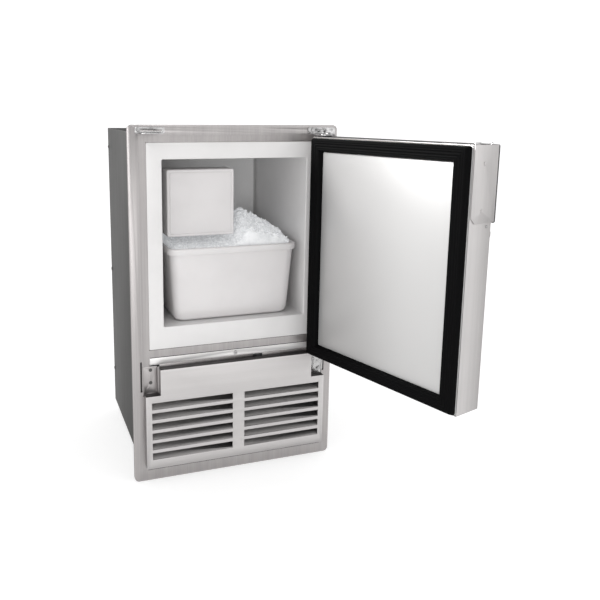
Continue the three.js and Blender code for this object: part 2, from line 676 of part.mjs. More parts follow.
function latchKeeper() {
  const left = -halfFlange + 13;
  const plate = plateXZ(roundRect(left, left + 51, keeperLow, FLANGE_HEIGHT - 3.5, 2.5),
    front - GAP - 1.6, front - GAP);
  const ledge = box(left + 5.5, left + 42, prongBack - PRONG_INNER - 4, front - GAP - 0.5,
    keeperLow, keeperLow + 1.6);
  const slot = plateXZ(roundRect(left + 7, left + 46, keeperLow + 3.6, keeperLow + 6.6, 1.2),
    front - 9, front + 1);
  const socket = box(boltX - BOLT_WIDTH / 2 - 0.8, boltX + BOLT_WIDTH / 2 + 0.8,
    prongBack - PRONG_INNER - 0.8, prongBack + 0.8, keeperLow - 1, keeperLow + 3);
  return cut(join(plate, ledge), slot, socket, screwHoleY(...keeperScrew, front - 9, front + 1));
}

function hingeBlankPlate() {
  const p = notchPlate;
  const plate = box(-p.x1, -p.x0, ring, ring + 0.9, p.z0, p.z1);
  return cut(plate, ...blankScrews.map(([x, z]) => screwHoleY(x, z, front - 1, flangeBack)));
}

// A countersunk screw whose flat head is level with its plate.
function flatScrewY([x, z], plateY) {
  return turned([[0, 0], [3.2, 0], [3.2, 0.2], [1.6, 0.2], [1.6, 9], [0, 9]], 0, 0, 12)
    .rotateX(-Math.PI / 2)
    .translate(x, plateY - GAP - 0.2, z);
}

// Refrigeration deck

function compressorCan() {
  const z = compressorFoot;
  const [r, h] = [COMPRESSOR_RADIUS, COMPRESSOR_HEIGHT];
  const can = turned([[0, z + 1], [r * 0.8, z + 1], [r * 0.94, z + 8], [r, z + h * 0.3], [r, z + h * 0.38],
    [r + 2.5, z + h * 0.4], [r + 2.5, z + h * 0.44], [r, z + h * 0.46], [r * 0.98, z + h * 0.62],
    [r * 0.86, z + h * 0.84], [r * 0.6, z + h * 0.96], [r * 0.3, z + h], [0, z + h]],
  compressorX, compressorY, 20);
  const sole = roundRect(compressorX - r - 7, compressorX + r + 7,
    compressorY - r - 1, compressorY + r + 1, 12);
  const foot = plateXY(sole, z, z + 3, 4);
  const stubs = [-STUB_SIDE, STUB_SIDE].map((offset) => (
    rodZ(TUBE + 1.5, z + h * 0.8, stubTop, compressorX + offset, compressorY, 12)
  ));
  return join(can, foot, ...stubs);
}

function dischargeTube() {
  const x = compressorX - STUB_SIDE;
  return tube([
    [x, compressorY, stubTop + 2 * GAP], [x, compressorY, stubTop + 14],
    [x - 6, compressorY - 26, stubTop + 26],
    [x - 20, compressorY - 90, stubTop + 28], [dischargeX + 22, condenserFront + 60, stubTop + 24],
    [dischargeX + 20, condenserFront + 22, stubTop + 6], [dischargeX + 9, condenserFront + 16, stubTop],
    [dischargeX + 0.6, condenserFront + 16, stubTop],
  ], TUBE, 26);
}

function suctionTube() {
  const x = compressorX + STUB_SIDE;
  return tube([
    [x, compressorY, stubTop + 2 * GAP], [x, compressorY, stubTop + 10],
    [suctionX - 1, compressorY + 24, stubTop + 26], [suctionX, suctionY - 4, deckBottom - 6],
    [suctionX, suctionY, deckTop + 14], [suctionX, suctionY, suctionZ - 16],
    [suctionX, suctionY - 6, suctionZ - 3], [suctionX, cavityBack + 8, suctionZ],
    [suctionX, evaporatorBack + GAP, suctionZ],
  ], TUBE, 26);
}

function condenserCore() {
  const bottom = condenserBottom;
  const top = bottom + CONDENSER_HEIGHT;
  const right = condenserLeft + CONDENSER_WIDTH;
  const outline = [[condenserLeft, bottom], [right, bottom], [right, top]];
  const fins = Math.floor((CONDENSER_WIDTH - 8) / FIN_PITCH);
  const start = condenserLeft + (CONDENSER_WIDTH - fins * FIN_PITCH) / 2;
  for (let fin = fins - 1; fin >= 0; fin -= 1) {
    const x = start + fin * FIN_PITCH;
    outline.push([x + FIN_PITCH * 0.8, top], [x + FIN_PITCH * 0.8, bottom + 12]);
    outline.push([x + FIN_PITCH * 0.2, bottom + 12], [x + FIN_PITCH * 0.2, top]);
  }
  outline.push([condenserLeft, top]);
  const core = plateXZ(polygon(outline), condenserFront, condenserFront + CONDENSER_DEPTH);
  const tie = rodX(TUBE, condenserLeft + 1, right - 1,
    condenserFront + CONDENSER_DEPTH / 2, bottom + CONDENSER_HEIGHT * 0.6, 6);
  return join(core, tie);
}

function fanShroud() {
  const right = condenserLeft + CONDENSER_WIDTH;
  const top = condenserBottom + CONDENSER_HEIGHT;
  const outline = polygon([[condenserLeft, condenserBottom], [right, condenserBottom], [right, top],
    [condenserLeft, top]]);
  outline.holes.push(new THREE.Path().absarc(fanX, fanZ, FAN_RADIUS + 4, 0, 2 * Math.PI, true));
  const collarOutline = new THREE.Shape().absarc(fanX, fanZ, FAN_RADIUS + 6, 0, 2 * Math.PI);
  collarOutline.holes.push(new THREE.Path().absarc(fanX, fanZ, FAN_RADIUS + 4, 0, 2 * Math.PI, true));
  const plate = plateXZ(outline, shroudFront, shroudFront + 2, 24);
  const collar = plateXZ(collarOutline, shroudFront + 0.5, fanFront + FAN_DEPTH, 24);
  return join(plate, collar);
}

function fanBlade() {
  const hub = rodY(15, fanFront, fanFront + FAN_DEPTH, fanX, fanZ, 20);
  const blades = Array.from({ length: FAN_BLADES }, (_, i) => {
    const outline = polygon([[10, -9], [FAN_RADIUS * 0.6, -17], [FAN_RADIUS - 3, -15], [FAN_RADIUS, -4],
      [FAN_RADIUS - 1, 12], [FAN_RADIUS * 0.6, 11], [10, 7]]);
    const paddle = plateXZ(outline, -0.9, 0.9);
    paddle.rotateX((28 * Math.PI) / 180);
    paddle.rotateY((2 * Math.PI * i) / FAN_BLADES);
    return paddle.translate(fanX, fanFront + FAN_DEPTH / 2, fanZ);
  });
  const bore = rodY(3 + RUN, fanFront - 1, fanFront + FAN_DEPTH + 1, fanX, fanZ, 14);
  return cut(join(hub, ...blades), bore);
}

function fanMotor() {
  const back = fanFront + FAN_DEPTH + 4;
  const can = rodY(FAN_MOTOR, back, back + 34, fanX, fanZ, 20);
  const shaft = rodY(3, fanFront + 2, back + 1, fanX, fanZ, 12);
  const leg = box(fanX - 12, fanX + 12, back + 14, back + 17, panTop + GAP, fanZ);
  const foot = box(fanX - 12, fanX + 12, back + 14, back + 36, panTop + GAP, panTop + GAP + 2);
  return join(can, shaft, leg, foot);
}

function drainPan() {
  const x0 = condenserLeft + 40;
  const x1 = condenserLeft + CONDENSER_WIDTH - 14;
  const y0 = compressorY - 40;
  const y1 = insideBack - 62;
  const z0 = panTop + GAP;
  return loft([
    roundedRing(x0 + 3, x1 - 3, y0 + 3, y1 - 3, 8, z0, 3),
    roundedRing(x0, x1, y0, y1, 10, z0 + 22, 3),
    roundedRing(x0 + 2, x1 - 2, y0 + 2, y1 - 2, 8, z0 + 22, 3),
    roundedRing(x0 + 5, x1 - 5, y0 + 5, y1 - 5, 6, z0 + 2, 3),
  ]);
}

function waterValve() {
  const z = WATER_INLET_HEIGHT;
  const body = box(shaftX - 14, shaftX + 14, fillY - 26, fillY + 3, z - 14, z + 14);
  const inlet = rodY(8, fillY, cabinetBack - 0.5, shaftX, z);
  const bore = rodY(5, cabinetBack - 7, cabinetBack + 1, shaftX, z, 12);
  const coil = rodX(10, shaftX - 34, shaftX - 13, fillY - 12, z, 16);
  const outlet = rodZ(TUBE + 1.5, z + 13, valveTop, shaftX, fillY, 12);
  return cut(join(body, inlet, coil, outlet), bore);
}

function fillTube() {
  return tube([
    [shaftX, fillY, valveTop + GAP], [shaftX, fillY, valveTop + 46],
    [shaftX, fillY, fillHeight - 60], [shaftX, fillY, fillHeight - 16],
    [shaftX, fillY - 5, fillHeight - 3], [shaftX, fillY - 20, fillHeight],
    [shaftX, cavityBack - 4, fillHeight], [shaftX, mouldBack + 2, fillHeight],
  ], TUBE - 0.5, 22);
}

function cordGland() {
  const profile = [[0, 0], [12, 0], [12, 2], [8, 2], [8, 12], [0, 12]];
  const gland = turned(profile, 0, 0, 16).rotateX(Math.PI / 2)
    .translate(cordX, cabinetBack + 2 + GAP, CORD_HEIGHT);
  return cut(gland, rodY(4, cabinetBack - 7, cabinetBack + 4, cordX, CORD_HEIGHT, 12));
}

// Ice-making module

function icemakerCover() {
  const [x0, x1] = [moduleLeft, moduleLeft + MODULE_WIDTH];
  const back = coverFront + COVER_DEPTH;
  const c = COVER_CHAMFER;
  const ringXZ = (inset, y) => uprightRing(x0 + inset, x1 - inset, moduleBottom + inset, moduleTop - inset,
    Math.max(5 - inset, 2), y, 3);
  return loft([
    ringXZ(c, coverFront), ringXZ(c * 0.3, coverFront + c * 0.3), ringXZ(0, coverFront + c), ringXZ(0, back),
    ringXZ(COVER_WALL, back), ringXZ(COVER_WALL, coverFront + c),
    ringXZ(COVER_WALL + c * 0.6, coverFront + COVER_WALL),
  ]);
}

function icemakerHousing() {
  const [x0, x1] = [moduleLeft + 1, moduleLeft + MODULE_WIDTH - 1];
  const plate = plateXZ(roundRect(x0, x1, moduleBottom + 1, moduleTop - 1, 4), housingFront, housingBack, 3);
  const lug = box(shaftX - 33, shaftX - 27, housingBack - 1, housingBack + 15, shaftZ - 2, shaftZ + 11);
  const shaftHole = rodY(SHAFT_RADIUS + RUN, housingFront - 1, housingBack + 1, shaftX, shaftZ);
  const motorHole = rodY(3.2, housingFront - 1, housingBack + 1, shaftX, shaftZ + gearDistance);
  const bailHole = rodX(2.4, shaftX - 40, shaftX - 20, bailY, bailZ, 12);
  return cut(join(plate, lug), shaftHole, motorHole, bailHole);
}

function icemakerMotor() {
  const z = shaftZ + gearDistance;
  const can = rodY(12, housingBack + GAP, housingBack + 25, shaftX, z, 20);
  const shaft = rodY(2, gearFront - 2, housingBack + 2, shaftX, z, 12);
  return join(can, shaft);
}

// A straight-flanked spur gear about its own axis, as an outline; a tooth sits at the phase angle.
function gearOutline(teeth, phase) {
  const pitchRadius = (GEAR_MODULE * teeth) / 2;
  const step = (2 * Math.PI) / teeth;
  const flanks = [[-1.25, 1.55], [1, 0.55]]; // [radius over pitch, half thickness] at root and tip
  const points = [];
  for (let tooth = 0; tooth < teeth; tooth += 1) {
    const middle = phase + tooth * step;
    const corners = [[...flanks[0], -1], [...flanks[1], -1], [...flanks[1], 1], [...flanks[0], 1]];
    for (const [rise, half, side] of corners) {
      const radius = pitchRadius + rise;
      const angle = middle + side * (half / radius);
      points.push([radius * Math.cos(angle), radius * Math.sin(angle)]);
    }
  }
  return polygon(points);
}

function driveGear() {
  const blank = plateXZ(gearOutline(GEAR_TEETH, 0), gearFront, gearFront + GEAR_FACE);
  const bore = rodY(SHAFT_RADIUS + GAP, gearFront - 1, gearFront + GEAR_FACE + 1, shaftX, shaftZ);
  return cut(blank.translate(shaftX, 0, shaftZ), bore);
}

function motorPinion() {
  const z = shaftZ + gearDistance;
  const blank = plateXZ(gearOutline(PINION_TEETH, -Math.PI / 2), gearFront, gearFront + GEAR_FACE);
  const bore = rodY(2 + GAP, gearFront - 1, gearFront + GEAR_FACE + 1, shaftX, z, 12);
  return cut(blank.translate(shaftX, 0, z), bore);
}

function iceMould() {
  const half = POCKET_RADIUS + 5;
  const bottom = shaftZ - POCKET_RADIUS - MOULD_FLOOR;
  const block = box(shaftX - half, shaftX + half, mouldFront, mouldBack, bottom, mouldTop);
  const bearing = box(shaftX - 9, shaftX + 9, mouldBack - 3, mouldBack, mouldTop - 2, shaftZ + 9);
  const hollows = Array.from({ length: pockets }, (_, i) => {
    const y = pocketStart + i * POCKET_PITCH;
    return rodY(POCKET_RADIUS, y + POCKET_WALL / 2, y + POCKET_PITCH - POCKET_WALL / 2, shaftX, shaftZ, 28);
  });
  const journal = rodY(SHAFT_RADIUS + RUN, mouldBack - 4, mouldBack + 1, shaftX, shaftZ);
  return cut(join(block, bearing), ...hollows, journal);
}

function mouldHeater() {
  const z = shaftZ - POCKET_RADIUS - MOULD_FLOOR - GAP - 3;
  const [y0, y1] = [mouldFront + 4, mouldBack - 14];
  return tube([
    [shaftX - 12, y0, z], [shaftX - 12, (y0 + y1) / 2, z], [shaftX - 12, y1 - 14, z], [shaftX - 8, y1 - 4, z],
    [shaftX, y1, z], [shaftX + 8, y1 - 4, z], [shaftX + 12, y1 - 14, z], [shaftX + 12, (y0 + y1) / 2, z],
    [shaftX + 12, y0, z],
  ], 3, 20);
}

function pocketMiddle(i) {
  return pocketStart + (i + 0.5) * POCKET_PITCH;
}

function ejectorShaft() {
  const shaft = rodY(SHAFT_RADIUS, gearFront - 2, mouldBack - 1, shaftX, shaftZ, 12);
  const fingers = Array.from({ length: pockets }, (_, i) => {
    const y = pocketMiddle(i);
    const outline = polygon([[-4, 0], [-3.4, -3], [0, -3.6], [3.4, -3], [4, 0],
      [2.2, FINGER_RADIUS - 1], [0, FINGER_RADIUS], [-2.2, FINGER_RADIUS - 1]]);
    const finger = plateXZ(outline, y - FINGER / 2, y + FINGER / 2);
    return finger.rotateY(-0.8 * Math.PI).translate(shaftX, 0, shaftZ);
  });
  return join(shaft, ...fingers);
}

function stripperComb() {
  const z0 = mouldTop + GAP;
  const bar = box(shaftX + FINGER_RADIUS + 1.5, shaftX + POCKET_RADIUS + 11,
    mouldFront, mouldBack - 4, z0, z0 + 3);
  const tines = Array.from({ length: pockets + 1 }, (_, i) => {
    const y = pocketStart + i * POCKET_PITCH;
    const half = (POCKET_PITCH - FINGER) / 2 - 2;
    return box(shaftX + SHAFT_RADIUS + 1.5, shaftX + FINGER_RADIUS + 2, Math.max(y - half, mouldFront),
      Math.min(y + half, mouldBack - 4), z0, z0 + 2.4);
  });
  return join(bar, ...tines);
}

function fillCup() {
  const x0 = shaftX - 15;
  const x1 = shaftX + 15;
  const y0 = mouldBack - 24;
  const y1 = mouldBack + 6;
  const z0 = shaftZ + FINGER_RADIUS + 6;
  const shell = box(x0, x1, y0, y1, z0, z0 + 18);
  const basin = box(x0 + 2, x1 - 2, y0 + 2, y1 - 2, z0 + 2, z0 + 19);
  const spout = box(x0 + 9, x1 - 9, y0 - 1, y0 + 3, z0 + 2, z0 + 19);
  const bracket = box(x0 + 6, x1 - 6, y1 - 2, evaporatorFront - GAP, z0, z0 + 5);
  return join(cut(shell, basin, spout), bracket);
}

function bailArm() {
  const x = shaftX - 38;
  const low = moduleBottom + 6;
  return tube([
    [shaftX - 25, bailY, bailZ], [x + 3, bailY, bailZ], [x, bailY + 2, bailZ - 5], [x, bailY + 9, low + 18],
    [x, bailY + 20, low + 4], [x, bailY + 38, low], [x, mouldBack - 48, low], [x, mouldBack - 36, low + 4],
  ], 1.8, 22, 6);
}

// Bucket

function iceBucket() {
  const at = (inset, z) => roundedRing(bucketLeft + inset, bucketRight - inset, bucketFront + inset,
    bucketBack - inset, Math.max(BUCKET_CORNER - inset * 0.35, 6), z, 4);
  const neck = BUCKET_RIM;
  const foot = neck + BUCKET_TAPER;
  const [low, high, wall] = [bucketBottom, bucketTop, BUCKET_WALL];
  return loft([
    at(foot + 7, low), at(foot + 2.6, low + 2), at(foot, low + 8), at(neck, high - 9),
    at(neck - 1, high - 5.5), at(1.2, high - 5), at(1.2, high - 12), at(0, high - 12), at(0, high - 2),
    at(1.4, high), at(neck + wall - 2, high), at(neck + wall, high - 2), at(foot + wall, low + 9),
    at(foot + wall + 2.4, low + 4), at(foot + wall + 6, low + wall),
  ]);
}

// Door, drawn shut

function pinRoom(z0, z1) {
  return rodZ(BUSH_RADIUS + GAP, z0, z1, pinX, pinY, 20);
}

function doorOuterShell() {
  const face = roundRect(-halfDoor, halfDoor, doorBottom, doorTop, DOOR_CORNER);
  const outer = plateXZ(face, doorOuter, doorInner, 3);
  const t = DOOR_SHEET;
  const inner = box(-halfDoor + t, halfDoor - t, doorOuter + t, doorInner + 1, doorBottom + t, doorTop - t);
  const across = [boltX - BOLT_WIDTH / 2 - RUN, boltX + BOLT_WIDTH / 2 + RUN];
  const slots = [
    box(...across, prongBack - PRONG_INNER - RUN, prongBack + RUN, doorTop - 5, doorTop + 1),
    box(...across, prongOuter - RUN, prongOuter + PRONG_OUTER + RUN, doorTop - 5, doorTop + 1),
    box(...across, doorOuter - 1, doorOuter + 4, thumbZ - 5, thumbZ + 18),
  ];
  const bushHoles = [pinRoom(doorTop - 5, doorTop + 1), pinRoom(doorBottom - 1, doorBottom + 5)];
  return cut(outer, inner, ...slots, ...bushHoles);
}

function doorFoam() {
  const inset = DOOR_SHEET + GAP;
  const block = box(-halfDoor + inset, halfDoor - inset, doorOuter + inset, doorInner - SHEET - 2 * GAP,
    doorBottom + inset, doorTop - inset);
  const clear = BOLT_WIDTH / 2 + 0.8;
  const boltRoom = box(-halfDoor, boltX + clear, doorOuter, prongBack + 1, thumbZ - 6, doorTop);
  const topRoom = pinRoom(doorTop - BUSH_DEPTH - 1, doorTop);
  const bottomRoom = pinRoom(doorBottom, doorBottom + BUSH_DEPTH + 1);
  return cut(block, boltRoom, topRoom, bottomRoom);
}

function doorInnerPanel() {
  const inset = DOOR_SHEET + 2 * GAP;
  const plate = box(-halfDoor + inset, halfDoor - inset, doorInner - SHEET, doorInner,
    doorBottom + inset, doorTop - inset);
  const face = plateXZ(roundRect(-halfPanel + GAP, halfPanel - GAP, panelBottom + GAP, panelTop - GAP, 3),
    doorInner - 0.5, doorInner + PANEL_RISE, 3);
  return join(plate, face);
}

function doorGasket() {
  const high = ring - GASKET_CLEARANCE;
  const c = GASKET_CHAMFER;
  const outside = (inset, y) => uprightRing(-halfGasket + inset, halfGasket - inset, gasketBottom + inset,
    gasketTop - inset, 2.5, y, 2);
  const solid = loft([outside(0, panelBack), outside(0, high - c), outside(c, high)]);
  const opening = box(-halfPanel, halfPanel, doorInner - 5, front + 20, panelBottom, panelTop);
  return cut(solid, opening);
}

function hingeBush(z, inward) {
  const span = (a, b) => [Math.min(z + a * inward, z + b * inward), Math.max(z + a * inward, z + b * inward)];
  const body = rodZ(BUSH_RADIUS, ...span(-0.6, BUSH_DEPTH), pinX, pinY, 20);
  const head = rodZ(BUSH_RADIUS + 2, ...span(-1.1, -GAP), pinX, pinY, 20);
  return cut(join(body, head), rodZ(PIN_RADIUS + RUN, ...span(-3, BUSH_DEPTH + 3), pinX, pinY, 20));
}

function pullPlate() {
  const side = -halfDoor - GAP;
  const outline = polygon([
    [pullFace + PULL_BAR + GAP, pullLow + 2], [doorInner - 10, pullLow + 2], [doorInner - 1, pullLow + 11],
    [doorInner - 1, doorTop], [pullFace + PULL_BAR + GAP, doorTop],
  ]);
  const leaf = plateYZ(outline, side - 1.2, side);
  const middle = (doorInner + doorOuter) / 2;
  const heads = PULL_SCREWS.map((drop) => rodX(3, side - 2, side - 1, middle, doorTop - drop, 14));
  return join(leaf, ...heads);
}

function pullGrip() {
  const side = -halfDoor - GAP - 1.2;
  const end = side + PULL_REACH;
  const bar = plateXZ(roundRect(side, end, pullLow, doorTop, 3), pullFace, pullFace + PULL_BAR, 4);
  const lug = (z) => box(end - 12, end - 4, pullFace + 1, doorOuter - GAP, z, z + 8);
  return join(bar, lug(pullLow + 4), lug(doorTop - 12));
}

function latchBolt() {
  const [x0, x1] = [boltX - BOLT_WIDTH / 2, boltX + BOLT_WIDTH / 2];
  const top = doorTop + BOLT_PROUD;
  const outline = polygon([
    [prongOuter, thumbZ], [prongOuter + 8, thumbZ], [prongOuter + 8, doorTop - 30], [prongBack, doorTop - 30],
    [prongBack, top], [prongBack - PRONG_INNER, top], [prongBack - PRONG_INNER, doorTop - 16],
    [prongOuter + PRONG_OUTER, doorTop - 16], [prongOuter + PRONG_OUTER, top], [prongOuter, top],
    [prongOuter, thumbZ + 10], [doorOuter - 5, thumbZ + 9], [doorOuter - 5, thumbZ + 1],
  ]);
  return plateYZ(outline, x0, x1);
}

// Finishes

function finish(color, metalness, roughness) {
  return new THREE.MeshStandardMaterial({ color, metalness, roughness });
}

const steel = () => finish(0xc3c0c0, 1, 0.35);
const darkSteel = () => finish(0x7b7b7b, 0.9, 0.45);
const whitePlastic = () => finish(0xf0eeed, 0, 0.4);
const greyPlastic = () => finish(0x9a9896, 0, 0.6);
const blackRubber = () => finish(0x121314, 0, 0.7);
const blackPlastic = () => finish(0x1d1e20, 0, 0.5);
const foam = () => finish(0xe6dfc4, 0, 0.95);
const aluminium = () => finish(0xb4b4b4, 1, 0.45);
const copper = () => finish(0xb87348, 1, 0.35);
const blackPaint = () => finish(0x22252a, 0.5, 0.45);

// Assembly

const iceMaker = new THREE.Group();

function add(parent, name, geometry, material) {
  const mesh = new THREE.Mesh(geometry, material);
  mesh.name = name;
  parent.add(mesh);
  return mesh;
}

add(iceMaker, "front_flange", frontFlange(), steel());
add(iceMaker, "cabinet_shell", cabinetShell(), darkSteel());
add(iceMaker, "back_panel", backPanel(), darkSteel());
add(iceMaker, "base_pan", basePan(), darkSteel());
add(iceMaker, "machine_deck", machineDeck(), darkSteel());
add(iceMaker, "liner", linerTub(), whitePlastic());
add(iceMaker, "foam_insulation", foamInsulation(), foam());
add(iceMaker, "evaporator_plate", evaporatorPlate(), aluminium());
add(iceMaker, "lower_rail", lowerRail(), steel());
add(iceMaker, "rail_screw", screwY(...railScrew, railFront - 0.1), steel());
add(iceMaker, "rocker_bezel", rockerBezel(), blackPlastic());
add(iceMaker, "grille_panel", grillePanel(), steel());
add(iceMaker, "hinge_top_bracket", hingeTopBracket(), steel());
add(iceMaker, "hinge_top_pin", hingeTopPin(), steel());
add(iceMaker, "hinge_top_screw", screwY(...hingeTopScrew, front - 2 * GAP - HINGE_PLATE), steel());
add(iceMaker, "hinge_bottom_bracket", hingeBottomBracket(), steel());
add(iceMaker, "hinge_bottom_pin", hingeBottomPin(), steel());
add(iceMaker, "hinge_bottom_screw", screwY(...hingeBottomScrew, ring - 2 * GAP - HINGE_PLATE), steel());
add(iceMaker, "latch_keeper", latchKeeper(), steel());
add(iceMaker, "keeper_screw", screwY(...keeperScrew, front - 2 * GAP - 1.6), steel());
add(iceMaker, "hinge_blank_plate", hingeBlankPlate(), steel());
blankScrews.forEach((place, i) => {
  add(iceMaker, `blank_screw_${["lower", "upper"][i]}`, flatScrewY(place, ring), steel());
});
footPlaces.forEach((place, i) => {
  const name = `levelling_foot_${["front_left", "rear_left", "front_right", "rear_right"][i]}`;
  add(iceMaker, name, levellingFoot(place), blackPlastic());
});
add(iceMaker, "compressor", compressorCan(), blackPaint());
add(iceMaker, "discharge_tube", dischargeTube(), copper());
add(iceMaker, "suction_tube", suctionTube(), copper());
add(iceMaker, "condenser", condenserCore(), aluminium());
add(iceMaker, "fan_shroud", fanShroud(), blackPlastic());
add(iceMaker, "fan_blade", fanBlade(), blackPlastic());
add(iceMaker, "fan_motor", fanMotor(), blackPaint());
add(iceMaker, "drain_pan", drainPan(), greyPlastic());
add(iceMaker, "water_valve", waterValve(), greyPlastic());
add(iceMaker, "fill_tube", fillTube(), whitePlastic());
add(iceMaker, "cord_gland", cordGland(), blackPlastic());
add(iceMaker, "icemaker_cover", icemakerCover(), whitePlastic());
add(iceMaker, "icemaker_housing", icemakerHousing(), greyPlastic());
add(iceMaker, "icemaker_motor", icemakerMotor(), aluminium());
add(iceMaker, "drive_gear", driveGear(), whitePlastic());
add(iceMaker, "motor_pinion", motorPinion(), whitePlastic());
add(iceMaker, "ice_mould", iceMould(), aluminium());
add(iceMaker, "mould_heater", mouldHeater(), darkSteel());
add(iceMaker, "ejector", ejectorShaft(), greyPlastic());
add(iceMaker, "stripper", stripperComb(), greyPlastic());
add(iceMaker, "fill_cup", fillCup(), greyPlastic());
add(iceMaker, "bail_arm", bailArm(), steel());
add(iceMaker, "ice_bucket", iceBucket(), whitePlastic());

const rocker = add(iceMaker, "power_rocker", powerRocker(), blackPlastic());
rocker.position.set(SWITCH_X, rockerPivotY, switchMiddle);
rocker.rotation.z = (ROCKER_TILT * Math.PI) / 180;

const doorHung = new THREE.Group();
doorHung.position.set(pinX, pinY, 0);
doorHung.rotation.z = (DOOR_REST * Math.PI) / 180;
const door = new THREE.Group();
door.position.set(-pinX, -pinY, 0);
doorHung.add(door);
iceMaker.add(doorHung);
add(door, "door_outer_shell", doorOuterShell(), steel());
add(door, "door_foam", doorFoam(), foam());
add(door, "door_inner_panel", doorInnerPanel(), steel());
add(door, "door_gasket", doorGasket(), blackRubber());
add(door, "hinge_bush_top", hingeBush(doorTop, -1), blackPlastic());
add(door, "hinge_bush_bottom", hingeBush(doorBottom, 1), blackPlastic());
add(door, "pull_plate", pullPlate(), steel());
add(door, "pull_grip", pullGrip(), blackPlastic());
add(door, "latch_bolt", latchBolt(), steel());

export default iceMaker;
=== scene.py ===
# Built-in ice maker: rounded edges, shells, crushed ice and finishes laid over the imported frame.
import json
import math
import bpy
import bmesh
import numpy as np
from mathutils import Matrix, Vector


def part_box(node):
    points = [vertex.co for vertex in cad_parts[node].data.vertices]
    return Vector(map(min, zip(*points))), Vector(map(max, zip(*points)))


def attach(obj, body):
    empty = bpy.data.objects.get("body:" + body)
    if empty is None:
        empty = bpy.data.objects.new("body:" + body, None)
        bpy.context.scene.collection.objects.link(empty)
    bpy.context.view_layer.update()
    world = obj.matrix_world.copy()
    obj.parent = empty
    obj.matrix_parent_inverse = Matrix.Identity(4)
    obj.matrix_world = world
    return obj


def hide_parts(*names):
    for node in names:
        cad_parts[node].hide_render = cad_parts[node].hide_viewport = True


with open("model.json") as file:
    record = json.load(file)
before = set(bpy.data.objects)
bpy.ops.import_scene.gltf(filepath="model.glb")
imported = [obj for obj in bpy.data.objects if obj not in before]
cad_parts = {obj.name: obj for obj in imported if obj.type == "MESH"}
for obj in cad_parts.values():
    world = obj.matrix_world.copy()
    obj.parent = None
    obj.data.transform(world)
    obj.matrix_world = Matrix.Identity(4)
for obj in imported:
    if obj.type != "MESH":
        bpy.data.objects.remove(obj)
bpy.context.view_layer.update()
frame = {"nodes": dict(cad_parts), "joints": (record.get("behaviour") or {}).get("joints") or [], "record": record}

rng = np.random.default_rng(11)
mm = 0.001

# camera
cameraSetup = {
    "place": (-0.3896, -1.1782, 0.6733),
    "yaw": -19.62,      # degrees to the right of straight in
    "pitch": -10.50,
    "roll": 0.52,
    "lens": 41.56,
    "shiftX": 0.08,
    "shiftY": -0.10,
}


def makeCamera(setup):
    data = bpy.data.cameras.new("studio_camera")
    data.lens = setup["lens"]
    data.shift_x = setup["shiftX"]
    data.shift_y = setup["shiftY"]
    data.clip_end = 40
    camera = bpy.data.objects.new("studio_camera", data)
    bpy.context.scene.collection.objects.link(camera)
    camera.location = setup["place"]
    turn = Matrix.Rotation(math.radians(setup["yaw"]), 4, "Z")
    tip = Matrix.Rotation(math.radians(90 + setup["pitch"]), 4, "X")
    roll = Matrix.Rotation(math.radians(setup["roll"]), 4, "Z")
    camera.rotation_euler = (turn @ tip @ roll).to_euler()
    bpy.context.scene.camera = camera


makeCamera(cameraSetup)
print("camera set")

# shader arithmetic


class Wire:
    # a socket that can be added, subtracted and multiplied like a number
    def __init__(self, graph, socket):
        self.graph = graph
        self.socket = socket

    def __add__(self, other):
        return self.graph.maths("ADD", self, other)

    def __radd__(self, other):
        return self.graph.maths("ADD", other, self)

    def __sub__(self, other):
        return self.graph.maths("SUBTRACT", self, other)

    def __rsub__(self, other):
        return self.graph.maths("SUBTRACT", other, self)

    def __mul__(self, other):
        return self.graph.maths("MULTIPLY", self, other)

    def __rmul__(self, other):
        return self.graph.maths("MULTIPLY", other, self)

    def least(self, other):
        return self.graph.maths("MINIMUM", self, other)

    def most(self, other):
        return self.graph.maths("MAXIMUM", self, other)


